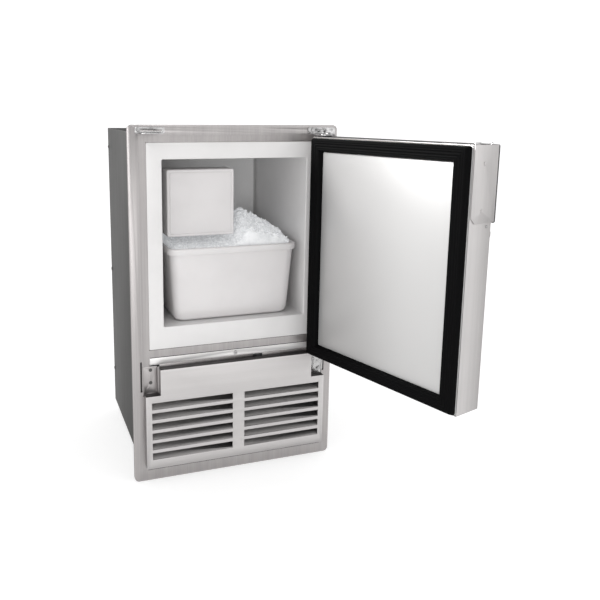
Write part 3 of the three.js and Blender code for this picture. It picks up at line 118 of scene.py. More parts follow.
class Graph:
    # one material's node tree
    def __init__(self, name):
        self.material = bpy.data.materials.new(name)
        self.material.use_nodes = True
        self.tree = self.material.node_tree
        self.tree.nodes.clear()
        self.output = self.tree.nodes.new("ShaderNodeOutputMaterial")
        coordinates = self.node("ShaderNodeTexCoord").outputs
        self.place = coordinates["Object"]
        self.facing = coordinates["Normal"]

    def node(self, kind, settings=None, inputs=None):
        made = self.tree.nodes.new(kind)
        for key, value in (settings or {}).items():
            setattr(made, key, value)
        for key, value in (inputs or {}).items():
            self.feed(made.inputs[key], value)
        return made

    def feed(self, socket, value):
        source = value.socket if isinstance(value, Wire) else value
        if isinstance(source, bpy.types.NodeSocket):
            self.tree.links.new(source, socket)
        elif socket.type == "RGBA" and len(source) == 3:
            socket.default_value = (*source, 1)
        else:
            socket.default_value = source

    def maths(self, operation, *values):
        made = self.node("ShaderNodeMath", {"operation": operation}, dict(enumerate(values)))
        return Wire(self, made.outputs[0])

    # value pulled from low..high to 0..1 with soft ends
    def between(self, value, low, high):
        made = self.node("ShaderNodeMapRange", {"interpolation_type": "SMOOTHSTEP"},
                         {"Value": value, "From Min": low, "From Max": high})
        return Wire(self, made.outputs["Result"])

    def blend(self, factor, first, second):
        made = self.node("ShaderNodeMix", {"data_type": "RGBA"}, {0: factor, 6: first, 7: second})
        return made.outputs[2]

    def scaled(self, scale, turn=(0, 0, 0)):
        return self.node("ShaderNodeMapping", None,
                         {"Vector": self.place, "Scale": scale, "Rotation": turn}).outputs[0]

    def noise(self, scale, detail=3.0, roughness=0.55, turn=(0, 0, 0)):
        made = self.node("ShaderNodeTexNoise", None,
                         {"Vector": self.scaled(scale, turn), "Scale": 1.0, "Detail": detail,
                          "Roughness": roughness})
        return Wire(self, made.outputs["Fac"])

    def cells(self, scale, feature="F1"):
        made = self.node("ShaderNodeTexVoronoi", {"feature": feature},
                         {"Vector": self.scaled(scale), "Scale": 1.0})
        return Wire(self, made.outputs["Distance"])

    # 1 along the edges of an upright box and 0 on its faces: a point is near an edge where
    # the two smaller of its three distances to the box's sides are both small
    def rim(self, box, width):
        parts = self.node("ShaderNodeSeparateXYZ", None, {0: self.place}).outputs
        gaps = []
        for axis in range(3):
            at = Wire(self, parts[axis])
            gaps.append((at - box[0][axis]).least(box[1][axis] - at).most(0.0))
        nearTwo = gaps[0] + gaps[1] + gaps[2] - gaps[0].most(gaps[1]).most(gaps[2])
        return 1 - self.between(nearTwo, 0.0, width)

    # 1 on faces that look up, 0 on upright ones; used as the mask for painted shade on faces that look up
    def upFacingShade(self):
        parts = self.node("ShaderNodeSeparateXYZ", None, {0: self.facing}).outputs
        return self.between(Wire(self, parts[2]), 0.8, 0.98)

    def finish(self, colour, roughness, metallic=0.0, height=None, depth=0.0001, fixed=None):
        inputs = {"Base Color": colour, "Roughness": roughness, "Metallic": metallic}
        if height is not None:
            bump = self.node("ShaderNodeBump", None,
                             {"Height": height, "Distance": depth, "Strength": 1.0})
            inputs["Normal"] = bump.outputs[0]
        inputs.update(fixed or {})
        surface = self.node("ShaderNodeBsdfPrincipled", None, inputs)
        self.tree.links.new(surface.outputs[0], self.output.inputs["Surface"])
        return self.material


def dim(colour, share):
    return tuple(channel * share for channel in colour)


# finishes; a steel's grain runs along one axis: noise is squeezed across it and stretched along
# it, faces that look up are darkened as painted shade, and graze tints what the steel mirrors at a low angle
def brushedSteel(name, colour, grain, rough, box=None, wear=0.5, streak=1.0, graze=0.4):
    g = Graph(name)
    along = {"X": 0, "Y": 1, "Z": 2}[grain]
    fineScale = [900.0] * 3
    bandScale = [70.0] * 3
    fineScale[along] = 6.0
    bandScale[along] = 0.8
    fine = g.noise(fineScale, detail=2, roughness=0.6)
    band = g.noise(bandScale, detail=3, roughness=0.5)
    cloud = g.noise((7, 7, 7), detail=4, roughness=0.6)
    scuff = g.between(g.noise((60, 60, 60), detail=5, roughness=0.7), 0.62, 0.8)
    tone = g.blend(g.between(fine * 0.55 + band * 0.45, 0.3, 0.7),
                   dim(colour, 1 - 0.12 * streak), dim(colour, 1 + 0.08 * streak))
    tone = g.blend(g.between(cloud, 0.35, 0.75) * 0.3, tone, dim(colour, 0.86))
    if box:
        worn = g.rim(box, 0.0035) * wear
        tone = g.blend(worn, tone, dim(colour, 1.22))
    # painted shade: faces that look up are darkened to a tenth of the colour
    tone = g.blend(g.upFacingShade() * 0.85, tone, dim(colour, 0.12))
    shine = rough + (fine - 0.5) * (0.16 * streak) + (band - 0.5) * (0.10 * streak)
    shine = shine + g.between(cloud, 0.4, 0.8) * 0.028 + scuff * 0.07
    return g.finish(tone, shine, 1.0, fine * 0.7 + band * 0.3 + scuff * 0.15, 0.00006,
                    {"Specular Tint": (graze, graze, graze, 1)})


def polishedSteel(name, colour):
    g = Graph(name)
    fine = g.noise((500, 500, 500), detail=4)
    grime = g.between(g.noise((150, 150, 150), detail=5, roughness=0.65), 0.46, 0.7)
    tone = g.blend(grime * 0.6, colour, dim(colour, 0.3))
    # painted shade: faces that look up are darkened to a tenth of the colour
    tone = g.blend(g.upFacingShade() * 0.9, tone, dim(colour, 0.1))
    return g.finish(tone, 0.2 + fine * 0.1 + grime * 0.2, 1.0, fine, 0.00001,
                    {"Specular Tint": (0.3, 0.3, 0.3, 1)})


def mouldedPlastic(name, colour, rough=0.38, peel=0.00005, box=None, shade=0.93, coat=0.0, glow=0.0):
    g = Graph(name)
    skin = g.noise((420, 420, 420), detail=3, roughness=0.5)
    cloud = g.noise((9, 9, 9), detail=4, roughness=0.55)
    scratch = g.between(g.noise((30, 700, 240), detail=2, turn=(0.3, 0.2, 0.5)), 0.68, 0.8)
    tone = g.blend(g.between(cloud, 0.35, 0.75), colour, dim(colour, shade))
    if box:
        tone = g.blend(g.rim(box, 0.004) * 0.35, tone, dim(colour, 1.06))
    shine = rough + (skin - 0.5) * 0.12 + cloud * 0.06 + scratch * 0.08
    fixed = {"Coat Weight": coat, "Coat Roughness": 0.15}
    if glow:
        fixed.update({"Subsurface Weight": glow, "Subsurface Scale": 1.0,
                      "Subsurface Radius": (0.006, 0.005, 0.0045)})
    return g.finish(tone, shine, 0.0, skin * 0.8 + scratch * 0.4, peel, fixed)


def sealRubber(name, colour):
    g = Graph(name)
    skin = g.noise((700, 700, 700), detail=3)
    dust = g.between(g.noise((45, 45, 45), detail=6, roughness=0.7), 0.5, 0.8)
    rib = g.noise((300, 300, 3), detail=1)
    tone = g.blend(dust * 0.35, colour, (0.005, 0.005, 0.005))
    return g.finish(tone, 0.5 + skin * 0.16 + dust * 0.2, 0.0, skin * 0.5 + rib * 0.5, 0.00006,
                    {"Specular IOR Level": 0.04})


def silverPanel(name, colour, box):
    g = Graph(name)
    fine = g.noise((12, 12, 1100), detail=2, roughness=0.5)
    pearl = g.noise((1300, 1300, 1300), detail=1)
    cloud = g.noise((4, 4, 4), detail=3, roughness=0.5)
    mark = g.between(g.noise((38, 38, 38), detail=6, roughness=0.72), 0.6, 0.85)
    tone = g.blend(g.between(cloud, 0.3, 0.8) * 0.35, colour, dim(colour, 0.9))
    tone = g.blend(g.rim(box, 0.003) * 0.4, tone, dim(colour, 1.1))
    shine = 0.36 + (fine - 0.5) * 0.1 + pearl * 0.06 + mark * 0.08
    return g.finish(tone, shine, 0.55, fine * 0.6 + pearl * 0.4, 0.00004)


def castMetal(name, colour, rough=0.45, pit=160, depth=0.0002):
    g = Graph(name)
    grain = g.noise((pit, pit, pit), detail=5, roughness=0.65)
    cloud = g.noise((14, 14, 14), detail=4)
    tone = g.blend(g.between(cloud, 0.3, 0.75), colour, dim(colour, 0.78))
    tone = g.blend(g.between(grain, 0.55, 0.75) * 0.4, tone, dim(colour, 1.25))
    return g.finish(tone, rough + (grain - 0.5) * 0.2 + cloud * 0.08, 1.0, grain, depth)


def frostedPlate(name, colour):
    g = Graph(name)
    roll = g.noise((5, 300, 500), detail=2)
    frost = g.between(g.noise((26, 26, 26), detail=6, roughness=0.62), 0.42, 0.74)
    speck = 1 - g.between(g.cells((420, 420, 420)), 0.1, 0.6)
    tone = g.blend(frost * 0.3, colour, dim(colour, 1.12))
    tone = g.blend(speck * frost * 0.4, tone, dim(colour, 1.2))
    return g.finish(tone, 0.5 + frost * 0.25 + (roll - 0.5) * 0.1, 0.12,
                    frost * 0.6 + speck * 0.5 + roll * 0.2, 0.00025)


def enamel(name, colour):
    g = Graph(name)
    peel = g.noise((220, 220, 220), detail=2)
    dust = g.between(g.noise((18, 18, 18), detail=6, roughness=0.7), 0.48, 0.8)
    tone = g.blend(dust * 0.5, colour, (0.16, 0.15, 0.14))
    return g.finish(tone, 0.22 + peel * 0.1 + dust * 0.4, 0.0, peel, 0.0002,
                    {"Coat Weight": 0.4, "Coat Roughness": 0.12})


def copperTube(name, colour):
    g = Graph(name)
    tarnish = g.between(g.noise((35, 35, 35), detail=5, roughness=0.65), 0.42, 0.72)
    draw = g.noise((400, 400, 30), detail=2)
    tone = g.blend(tarnish * 0.6, colour, (0.30, 0.15, 0.08))
    return g.finish(tone, 0.25 + tarnish * 0.25 + draw * 0.08, 1.0, draw, 0.00004)


def pourFoam(name, colour):
    g = Graph(name)
    cell = g.cells((260, 260, 260))
    swirl = g.noise((16, 16, 16), detail=5)
    tone = g.blend(g.between(swirl, 0.3, 0.7), colour, dim(colour, 0.8))
    return g.finish(tone, 0.85 + (swirl - 0.5) * 0.15, 0.0, cell, 0.0008)


def crushedIce(name):
    g = Graph(name)
    core = g.noise((70, 70, 70), detail=4, roughness=0.6)
    facet = g.noise((260, 260, 260), detail=3)
    vein = 1 - g.between(g.cells((110, 110, 110), "DISTANCE_TO_EDGE"), 0.0, 0.12)
    tone = g.blend(g.between(core, 0.35, 0.68), (0.66, 0.664, 0.668), (0.54, 0.548, 0.554))
    tone = g.blend(vein * 0.35, tone, (0.68, 0.684, 0.688))
    # painted light: the ice glows faintly through its emission to lift its shaded parts
    fixed = {"Emission Color": (0.95, 0.97, 1.0, 1), "Emission Strength": 0.2, "IOR": 1.31,
             "Subsurface Weight": 0.3, "Subsurface Radius": (0.009, 0.0094, 0.0098),
             "Subsurface Scale": 1.0, "Coat Weight": 0.1, "Coat Roughness": 0.2}
    return g.finish(tone, 0.22 + facet * 0.3, 0.0, facet * 0.7 + core * 0.3, 0.0006, fixed)


finishes = {
    "brushed_front": brushedSteel("brushed_front", (0.385, 0.367, 0.364), "Z", 0.36,
                                  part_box("front_flange")),
    "grille_steel": brushedSteel("grille_steel", (0.54, 0.524, 0.52), "X", 0.46,
                                 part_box("grille_panel"), streak=0.35),
    "cabinet_steel": brushedSteel("cabinet_steel", (0.106, 0.104, 0.102), "Z", 0.42,
                                  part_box("cabinet_shell"), 0.9, graze=0.55),
    # painted light: the rail's steel is made much lighter than the flange's brushed steel to lift the shade it
    # sits in below the band
    "rail_steel_lit": brushedSteel("rail_steel_lit", (0.92, 0.905, 0.898), "X", 0.56),
    "door_steel": brushedSteel("door_steel", (0.54, 0.524, 0.52), "Z", 0.4, streak=0.55),
    "door_panel": silverPanel("door_panel", (0.53, 0.526, 0.522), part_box("door_inner_panel")),
    "bright_steel": polishedSteel("bright_steel", (0.46, 0.455, 0.455)),
    "liner_white": mouldedPlastic("liner_white", (0.665, 0.655, 0.652), 0.36, 0.00004, coat=0.08),
    "bucket_white": mouldedPlastic("bucket_white", (0.635, 0.618, 0.618), 0.36, 0.00004,
                                   coat=0.08, glow=0.08),
    "cover_white": mouldedPlastic("cover_white", (0.64, 0.622, 0.622), 0.45, 0.00012,
                                  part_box("icemaker_cover")),
    "insulation": pourFoam("insulation", (0.80, 0.72, 0.50)),
    "evaporator": frostedPlate("evaporator", (0.72, 0.715, 0.71)),
    "aluminium_cast": castMetal("aluminium_cast", (0.55, 0.55, 0.56)),
    "seal_black": sealRubber("seal_black", (0.0018, 0.0018, 0.002)),
    "black_plastic": mouldedPlastic("black_plastic", (0.018, 0.018, 0.02), 0.42, 0.0001, shade=1.5),
    "grey_plastic": mouldedPlastic("grey_plastic", (0.34, 0.34, 0.33), 0.5, 0.0001, shade=0.86),
    "gear_nylon": mouldedPlastic("gear_nylon", (0.80, 0.77, 0.68), 0.4, 0.00006, glow=0.1),
    "black_enamel": enamel("black_enamel", (0.012, 0.012, 0.014)),
    "copper_line": copperTube("copper_line", (0.72, 0.36, 0.22)),
    "heater_sheath": castMetal("heater_sheath", (0.22, 0.19, 0.17), 0.35, 400, 0.00008),
    "ice": crushedIce("crushed_ice"),
}
slotOf = {row["node"]: row["material_slot"] for row in frame["record"]["subparts"]}
bodyOf = {node: body for body, nodes in frame["record"]["behaviour"]["bodies"].items() for node in nodes}
finishOf = {"grille_panel": "grille_steel", "lower_rail": "rail_steel_lit", "hinge_blank_plate": "brushed_front",
            "blank_screw_upper": "cabinet_steel", "blank_screw_lower": "cabinet_steel"}


def paint(piece, finishName):
    piece.data.materials.clear()
    piece.data.materials.append(finishes[finishName])


for nodeName, nodeObject in frame["nodes"].items():
    paint(nodeObject, finishOf.get(nodeName, slotOf[nodeName]))
print("finishes made:", len(finishes))

# mesh helpers


# a new piece of one finish that rides on a body and may stand for a CAD node
def addPiece(name, points, faces, finishName, body, replaced=(), sharp=40):
    mesh = bpy.data.meshes.new(name)
    mesh.from_pydata(np.asarray(points, float).reshape(-1, 3).tolist(), [],
                     [list(map(int, face)) for face in faces])
    mesh.validate()
    mesh.shade_smooth()
    if sharp is not None:
        mesh.set_sharp_from_angle(angle=math.radians(sharp))
    piece = bpy.data.objects.new(name, mesh)
    bpy.context.scene.collection.objects.link(piece)
    paint(piece, finishName)
    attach(piece, body)
    if replaced:
        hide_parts(*replaced)
    return piece


# rows x columns of points joined into quads; columns always close on themselves, rows close
# when wrap is set, otherwise a flat many-sided face closes the first and the last row
def stitch(rings, wrap=False):
    rows, columns = rings.shape[:2]
    lastRow = rows if wrap else rows - 1
    row, column = np.meshgrid(np.arange(lastRow), np.arange(columns), indexing="ij")
    nextColumn = (column + 1) % columns
    nextRow = (row + 1) % rows
    quads = np.stack([row * columns + column, row * columns + nextColumn,
                      nextRow * columns + nextColumn, nextRow * columns + column], -1)
    quads = quads.reshape(-1, 4).tolist()
    if not wrap:
        quads.append(list(range(columns))[::-1])
        quads.append(list(range((rows - 1) * columns, rows * columns)))
    return quads


# a closed loop round a rectangle whose corners are quarter circles: each corner's points are
# its centre plus the radius times (cosine, sine) of an angle that runs on by a quarter turn
def roundLoop(a0, a1, b0, b1, radius, steps=10):
    radius = min(radius, (a1 - a0) / 2 - 1e-6, (b1 - b0) / 2 - 1e-6)
    quarter = np.linspace(0, math.pi / 2, steps + 1)
    centres = np.array([(a1 - radius, b1 - radius), (a0 + radius, b1 - radius),
                        (a0 + radius, b0 + radius), (a1 - radius, b0 + radius)])
    angles = quarter[None, :] + (np.arange(4) * math.pi / 2)[:, None]
    ring = np.stack([np.cos(angles), np.sin(angles)], -1) * radius + centres[:, None, :]
    return ring.reshape(-1, 2)


# loops stacked along one axis: each row of the plan gives an inset, a level and a corner radius
def stack(rect, plan, axis, steps=10):
    rings = []
    for inset, level, radius in plan:
        ring = roundLoop(rect[0] + inset, rect[1] - inset, rect[2] + inset, rect[3] - inset,
                         radius, steps)
        flat = np.full(len(ring), level)
        if axis == "Z":
            rings.append(np.stack([ring[:, 0], ring[:, 1], flat], -1))
        else:
            rings.append(np.stack([ring[:, 0], flat, ring[:, 1]], -1)[::-1])
    return np.array(rings)


# a quarter round in a plan, from one corner of a profile to the other: inset and level follow
# the sine and cosine of an angle
def easing(insetFrom, insetTo, levelFrom, levelTo, radiusFrom, radiusTo, steps=5, bulge="level"):
    angle = np.linspace(0, math.pi / 2, steps + 1)
    slow, fast = 1 - np.cos(angle), np.sin(angle)
    first, second = (slow, fast) if bulge == "level" else (fast, slow)
    return [(insetFrom + (insetTo - insetFrom) * a, levelFrom + (levelTo - levelFrom) * b,
             radiusFrom + (radiusTo - radiusFrom) * a) for a, b in zip(first, second)]


# a CAD part's own shape with its sharp edges rounded
def softened(nodeName, width):
    source = frame["nodes"][nodeName]
    work = bmesh.new()
    work.from_mesh(source.data)
    bmesh.ops.remove_doubles(work, verts=work.verts, dist=2e-6)
    bmesh.ops.dissolve_limit(work, angle_limit=math.radians(1.0), verts=work.verts, edges=work.edges)
    mesh = bpy.data.meshes.new(nodeName + "_soft")
    work.to_mesh(mesh)
    work.free()
    mesh.shade_smooth()
    piece = bpy.data.objects.new(nodeName + "_soft", mesh)
    bpy.context.scene.collection.objects.link(piece)
    bevel = piece.modifiers.new("edge", "BEVEL")
    bevel.width = width
    bevel.segments = 2
    bevel.limit_method = "ANGLE"
    bevel.angle_limit = math.radians(35)
    bevel.harden_normals = True
    paint(piece, finishOf.get(nodeName, slotOf[nodeName]))
    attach(piece, bodyOf[nodeName])
    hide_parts(nodeName)
    return piece


# the door's place
doorJoint = next(joint for joint in frame["joints"] if joint["child"] == "door")
doorPin = np.array(doorJoint["pos_m"])
doorAngle = -math.radians(doorJoint["range_deg"][0])


# points turned about the pin's upright axis by an angle
def aboutPin(points, angle):
    c, s = math.cos(angle), math.sin(angle)
    turn = np.array([[c, -s, 0], [s, c, 0], [0, 0, 1]])
    pin = np.array([doorPin[0], doorPin[1], 0])
    return (points - pin) @ turn.T + pin


# points drawn with the door shut, turned about the pin to the open rest pose
def hang(points):
    return aboutPin(points, doorAngle)


# a CAD node's corners in the shut door's own frame
def shutBox(nodeName):
    corners = np.array([v.co for v in frame["nodes"][nodeName].data.vertices])
    back = aboutPin(corners, -doorAngle)
    return back.min(0), back.max(0)


# sheet-metal and small parts with rounded edges
edgeWidths = {
    "front_flange": 0.0008, "grille_panel": 0.0007, "cabinet_shell": 0.0006, "back_panel": 0.0004,
    "lower_rail": 0.0005, "door_outer_shell": 0.0007, "door_inner_panel": 0.0006,
    "hinge_top_bracket": 0.0005, "hinge_bottom_bracket": 0.0005, "latch_keeper": 0.0004,
    "hinge_blank_plate": 0.0002, "rocker_bezel": 0.0005, "power_rocker": 0.0006, "pull_plate": 0.0004,
    "pull_grip": 0.0008, "latch_bolt": 0.0004, "icemaker_housing": 0.0006, "fill_cup": 0.0006,
    "stripper": 0.0004, "base_pan": 0.0004, "water_valve": 0.0006,
}
for nodeName, width in edgeWidths.items():
    softened(nodeName, width)
print("edges rounded:", len(edgeWidths))

# ice bucket
bucketShape = {
    "neck": 4 * mm, "taper": 9 * mm, "wall": 2.2 * mm, "rimDrop": 12 * mm,
    "corner": 20 * mm, "footRound": 9 * mm, "rimRound": 10 * mm,
}


# rounded-rectangle loops carried up the outside, over the rolled rim and down the inside
def makeBucket(shape):
    low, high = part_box("ice_bucket")
    rect = (low.x, high.x, low.y, high.y)
    neck, foot = shape["neck"], shape["neck"] + shape["taper"]
    wall, corner, footRound = shape["wall"], shape["corner"], shape["footRound"]
    rimRound, rimFoot = shape["rimRound"], high.z - shape["rimDrop"]
    bottom, top = low.z, high.z
    plan = [(foot + 40 * mm, bottom + 0.6 * mm, 8 * mm)]
    plan += [(foot + footRound + 2 * mm, bottom + 0.2 * mm, corner * 0.7)]
    plan += easing(foot + footRound, foot + 0.3 * mm, bottom, bottom + footRound,
                   corner * 0.75, corner * 0.85, 6, "inset")
    levels = np.linspace(0.08, 0.93, 7)
    plan += [(foot + (neck - foot) * t, bottom + (top - rimRound - bottom) * t,
              corner * (0.85 + 0.1 * t)) for t in levels]
    plan += easing(neck, neck - 1.6 * mm, top - rimRound, top - 5.6 * mm, corner, corner, 3, "level")
    plan += [(2.6 * mm, top - 5.2 * mm, corner), (1.5 * mm, top - 6.2 * mm, corner),
             (1.3 * mm, rimFoot + 0.4 * mm, corner), (0.9 * mm, rimFoot, corner),
             (0.5 * mm, rimFoot + 0.5 * mm, corner)]
    plan += [(0, top - 4 * mm, corner)]
    plan += easing(0, 3 * mm, top - 3 * mm, top, corner, corner - 1 * mm, 5, "level")
    plan += [(neck - 1 * mm, top, corner - 2 * mm)]
    plan += easing(neck, neck + wall, top - 0.2 * mm, top - 3 * mm, corner - 2 * mm, corner - 3 * mm,
                   4, "inset")
    plan += [(neck + wall + (foot - neck) * t, top - 3 * mm - (top - bottom - 16 * mm) * t,
              corner - 3 * mm) for t in levels]
    plan += easing(foot + wall, foot + wall + 10 * mm, bottom + 13 * mm, bottom + wall,
                   corner * 0.8, corner * 0.6, 6, "level")
    plan += [(foot + 40 * mm, bottom + wall + 0.1 * mm, 8 * mm)]
    rings = stack(rect, plan, "Z", 12)
    return addPiece("ice_bucket_shell", rings, stitch(rings), "bucket_white", "bucket",
                    replaced=("ice_bucket",), sharp=50)


makeBucket(bucketShape)
print("bucket made")

# the ice-making module's cover
coverShape = {"edge": 2.4 * mm, "corner": 3.2 * mm, "wall": 2 * mm, "line": 5.6 * mm, "lineDepth": 0.8 * mm}


# standing loops: flat face, a fine pressed line inside the edge, a round edge, the sides, and
# back inside
def makeCover(shape):
    low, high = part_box("icemaker_cover")
    rect = (low.x, high.x, low.z, high.z)
    edge, wall, corner = shape["edge"], shape["wall"], shape["corner"]
    line, dent = shape["line"], shape["lineDepth"]
    face = low.y
    plan = [(30 * mm, face, 4 * mm), (line + 1.2 * mm, face, 3 * mm),
            (line + 0.5 * mm, face + 0.1 * mm, 3 * mm), (line, face + dent, 3.2 * mm),
            (line - 0.5 * mm, face + dent, 3.4 * mm), (line - 1 * mm, face + 0.1 * mm, 3.6 * mm)]
    plan += easing(edge, 0, face, face + edge, corner * 0.7, corner, 6, "inset")
    plan += [(0, face + edge + (high.y - face - edge) * t, corner) for t in (0.2, 0.6, 0.98)]
    plan += [(0.4 * mm, high.y, corner), (wall - 0.4 * mm, high.y, corner - 1 * mm),
             (wall, high.y - 0.4 * mm, corner - 1 * mm), (wall, face + edge + 2 * mm, corner - 1 * mm),
             (wall + 2 * mm, face + wall + 0.5 * mm, corner - 2 * mm), (30 * mm, face + wall, 4 * mm)]
    rings = stack(rect, plan, "Y", 8)
    return addPiece("icemaker_cover_shell", rings, stitch(rings), "cover_white", "cabinet",
                    replaced=("icemaker_cover",), sharp=30)


makeCover(coverShape)
print("cover made")

# liner
linerShape = {
    "rimSide": 27.1 * mm, "rimTop": 29.2 * mm, "rimBottom": 40.7 * mm, "wall": 2 * mm,
    "mouth": 1.6 * mm, "corner": 3 * mm, "backRound": 5 * mm, "lip": 2.2 * mm,
}


# one closed skin: the back wall's inside, round into the walls, out over the mouth's round edge,
# across the front lip, and round the outside to the back again
def makeLiner(shape):
    low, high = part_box("liner")
    wall, side = shape["wall"], shape["rimSide"]
    rect = (low.x + side, high.x - side, low.z + shape["rimBottom"], high.z - shape["rimTop"])
    front, back = low.y, high.y - wall
    mouth, corner, backRound = shape["mouth"], shape["corner"], shape["backRound"]
    inside = [(60 * mm, back, 6 * mm), (20 * mm, back, 6 * mm)]
    inside += easing(backRound, 0, back, back - backRound, corner, corner, 5, "inset")
    inside += [(0, back - (back - front) * t, corner) for t in (0.15, 0.4, 0.7, 0.9)]
    inside += easing(0, -mouth, front + mouth, front, corner, corner + mouth, 6, "level")
    rings = list(stack(rect, inside, "Y", 8)[:, ::-1])
    lipPlan = [(0.9 * mm, front), (0.3 * mm, front + 0.25 * mm), (0, front + 0.9 * mm),
               (0, front + shape["lip"]), (0.4 * mm, front + 3 * mm)]
    outer = (low.x, high.x, low.z, high.z)
    for inset, level in lipPlan:
        rings.append(stack(outer, [(inset, level, 2.5 * mm)], "Y", 8)[0][::-1])
    behind = [(-wall, front + 3 * mm, corner + wall), (-wall, front + 20 * mm, corner + wall),
              (-wall, back - backRound, corner + wall), (-wall + 1.5 * mm, high.y - 0.6 * mm, corner),
              (2 * mm, high.y, corner), (60 * mm, high.y, 6 * mm)]
    rings += list(stack(rect, behind, "Y", 8)[:, ::-1])
    rings = np.array(rings)
    return addPiece("liner_shell", rings, stitch(rings), "liner_white", "cabinet",
                    replaced=("liner",), sharp=45)


makeLiner(linerShape)
print("liner made")

# door seal
sealShape = {
    "sideWidth": 26.6 * mm, "endWidth": 23.5 * mm, "ribs": 3, "ribHeight": 0.9 * mm,
    "corner": 3 * mm, "foot": 1.2 * mm,
}


# the seal's section (how far in from the outer edge, how high) carried round the door on
# rounded-rectangle loops: a bellows step outside, three low ribs on the crown, a lip inside
def makeSeal(shape):
    low, high = shutBox("door_gasket")
    width = shape["sideWidth"]
    base, crown = low[1], high[1]
    lift = crown - base
    across = np.linspace(0, 1, 29)
    shoulder = 1 - np.clip((0.17 - across) / 0.17, 0, 1) ** 2.2
    inner = 1 - 0.55 * np.clip((across - 0.84) / 0.16, 0, 1) ** 2
    ribs = 0.5 + 0.5 * np.cos((across - 0.52) / 0.62 * 2 * math.pi * shape["ribs"])
    inBand = np.clip((0.33 - abs(across - 0.52)) / 0.05, 0, 1)
    height = base + lift * (0.42 + 0.58 * shoulder) * inner - shape["ribHeight"] * (1 - ribs) * inBand
    section = [(0.2 * mm, base), (0, base + shape["foot"]), (0.1 * mm, base + lift * 0.3)]
    section += [(0.4 * mm + (width - 1 * mm) * a, h) for a, h in zip(across, height)]
    section += [(width, base + shape["foot"]), (width - 0.4 * mm, base)]
    rect = (low[0], high[0], low[2], high[2])
    endRatio = shape["endWidth"] / width
    rings = []
    for inset, level in section:
        ring = roundLoop(rect[0] + inset, rect[1] - inset, rect[2] + inset * endRatio,
                         rect[3] - inset * endRatio, max(shape["corner"] - inset * 0.1, 1 * mm), 5)
        rings.append(np.stack([ring[:, 0], np.full(len(ring), level), ring[:, 1]], -1))
    rings = hang(np.array(rings).reshape(-1, 3)).reshape(len(section), -1, 3)
    return addPiece("door_seal", rings, stitch(rings, wrap=True), "seal_black", "door",
                    replaced=("door_gasket",), sharp=55)


makeSeal(sealShape)
print("seal made")

# crushed ice in the bucket
iceShape = {
    "peak": (0.040, 0.095), "peakHeight": 0.486, "level": 0.4275,
    "spreadLeft": 0.075, "spreadRight": 0.092, "spreadY": 0.125, "gap": 7 * mm, "inset": 11.5 * mm,
    "chips": 5600, "chipSize": (0.0016, 0.0036), "around": 6, "down": 3,
}
bucketLow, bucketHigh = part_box("ice_bucket")


# height of the heap: the fill level plus a cone (one minus the distance from the peak over the
# spreads), furrowed by sines that run down its slope and notched beside the peak; the heap is
# held under the module's floor and drops by a square root close to the bucket's walls
def heapHeight(x, y, shape):
    px, py = shape["peak"]
    spreadX = np.where(x > px, shape["spreadRight"], shape["spreadLeft"])
    away = np.sqrt(((x - px) / spreadX) ** 2 + ((y - py) / shape["spreadY"]) ** 2 + 0.006)
    cone = np.clip(1.07 - away, 0, 1)
    notch = 0.09 * np.exp(-((x - px - 0.013) / 0.006) ** 2)
    rise = (shape["peakHeight"] - shape["level"]) * cone * (1 - notch)
    around = np.arctan2(y - py, x - px)
    furrow = 0.0018 * np.sin(17 * around + 40 * away) * np.clip(cone * 4, 0, 1)
    ripple = 0.0014 * np.sin(x * 173 + y * 61) * np.sin(y * 139 - x * 47)
    underModule = np.clip((x - 0.002) / 0.024, 0, 1)
    wall = np.minimum(np.minimum(x - bucketLow.x, bucketHigh.x - x),
                      np.minimum(y - bucketLow.y, bucketHigh.y - y)) - 8 * mm
    edge = 6 * mm * (1 - np.sqrt(np.clip(wall / shape["gap"], 0, 1)))
    return shape["level"] + rise * (0.10 + 0.90 * underModule) + ripple + furrow - edge


# the same closed loop with its points spread evenly along its length
def evenly(loop, count):
    closed = np.vstack([loop, loop[:1]])
    run = np.concatenate([[0], np.cumsum(np.linalg.norm(np.diff(closed, axis=0), axis=1))])
    at = np.linspace(0, run[-1], count, endpoint=False)
    return np.stack([np.interp(at, run, closed[:, 0]), np.interp(at, run, closed[:, 1])], -1)


# the heap's body: rows from the middle out to the bucket's wall on rounded-rectangle loops,
# lifted to the heap's height, then down the wall and closed underneath
def makeHeap(shape):
    inset = shape["inset"]
    rect = (bucketLow.x + inset, bucketHigh.x - inset, bucketLow.y + inset, bucketHigh.y - inset)
    outer = evenly(roundLoop(*rect, 16 * mm, 12), 220)
    middle = outer.mean(0)
    shares = np.linspace(1.0, 0.02, 60)
    top = []
    for share in shares:
        ring = middle + (outer - middle) * share
        z = heapHeight(ring[:, 0], ring[:, 1], shape) - 1.5 * mm
        top.append(np.stack([ring[:, 0], ring[:, 1], z], -1))
    skirt = []
    for share, z in ((0.55, 0.335), (0.90, 0.337), (0.955, 0.350), (0.985, 0.400)):
        ring = middle + (outer - middle) * share
        skirt.append(np.stack([ring[:, 0], ring[:, 1], np.full(len(ring), z)], -1))
    rings = np.array(skirt + top)
    return addPiece("ice_heap", rings, stitch(rings), "ice", "bucket", sharp=None)


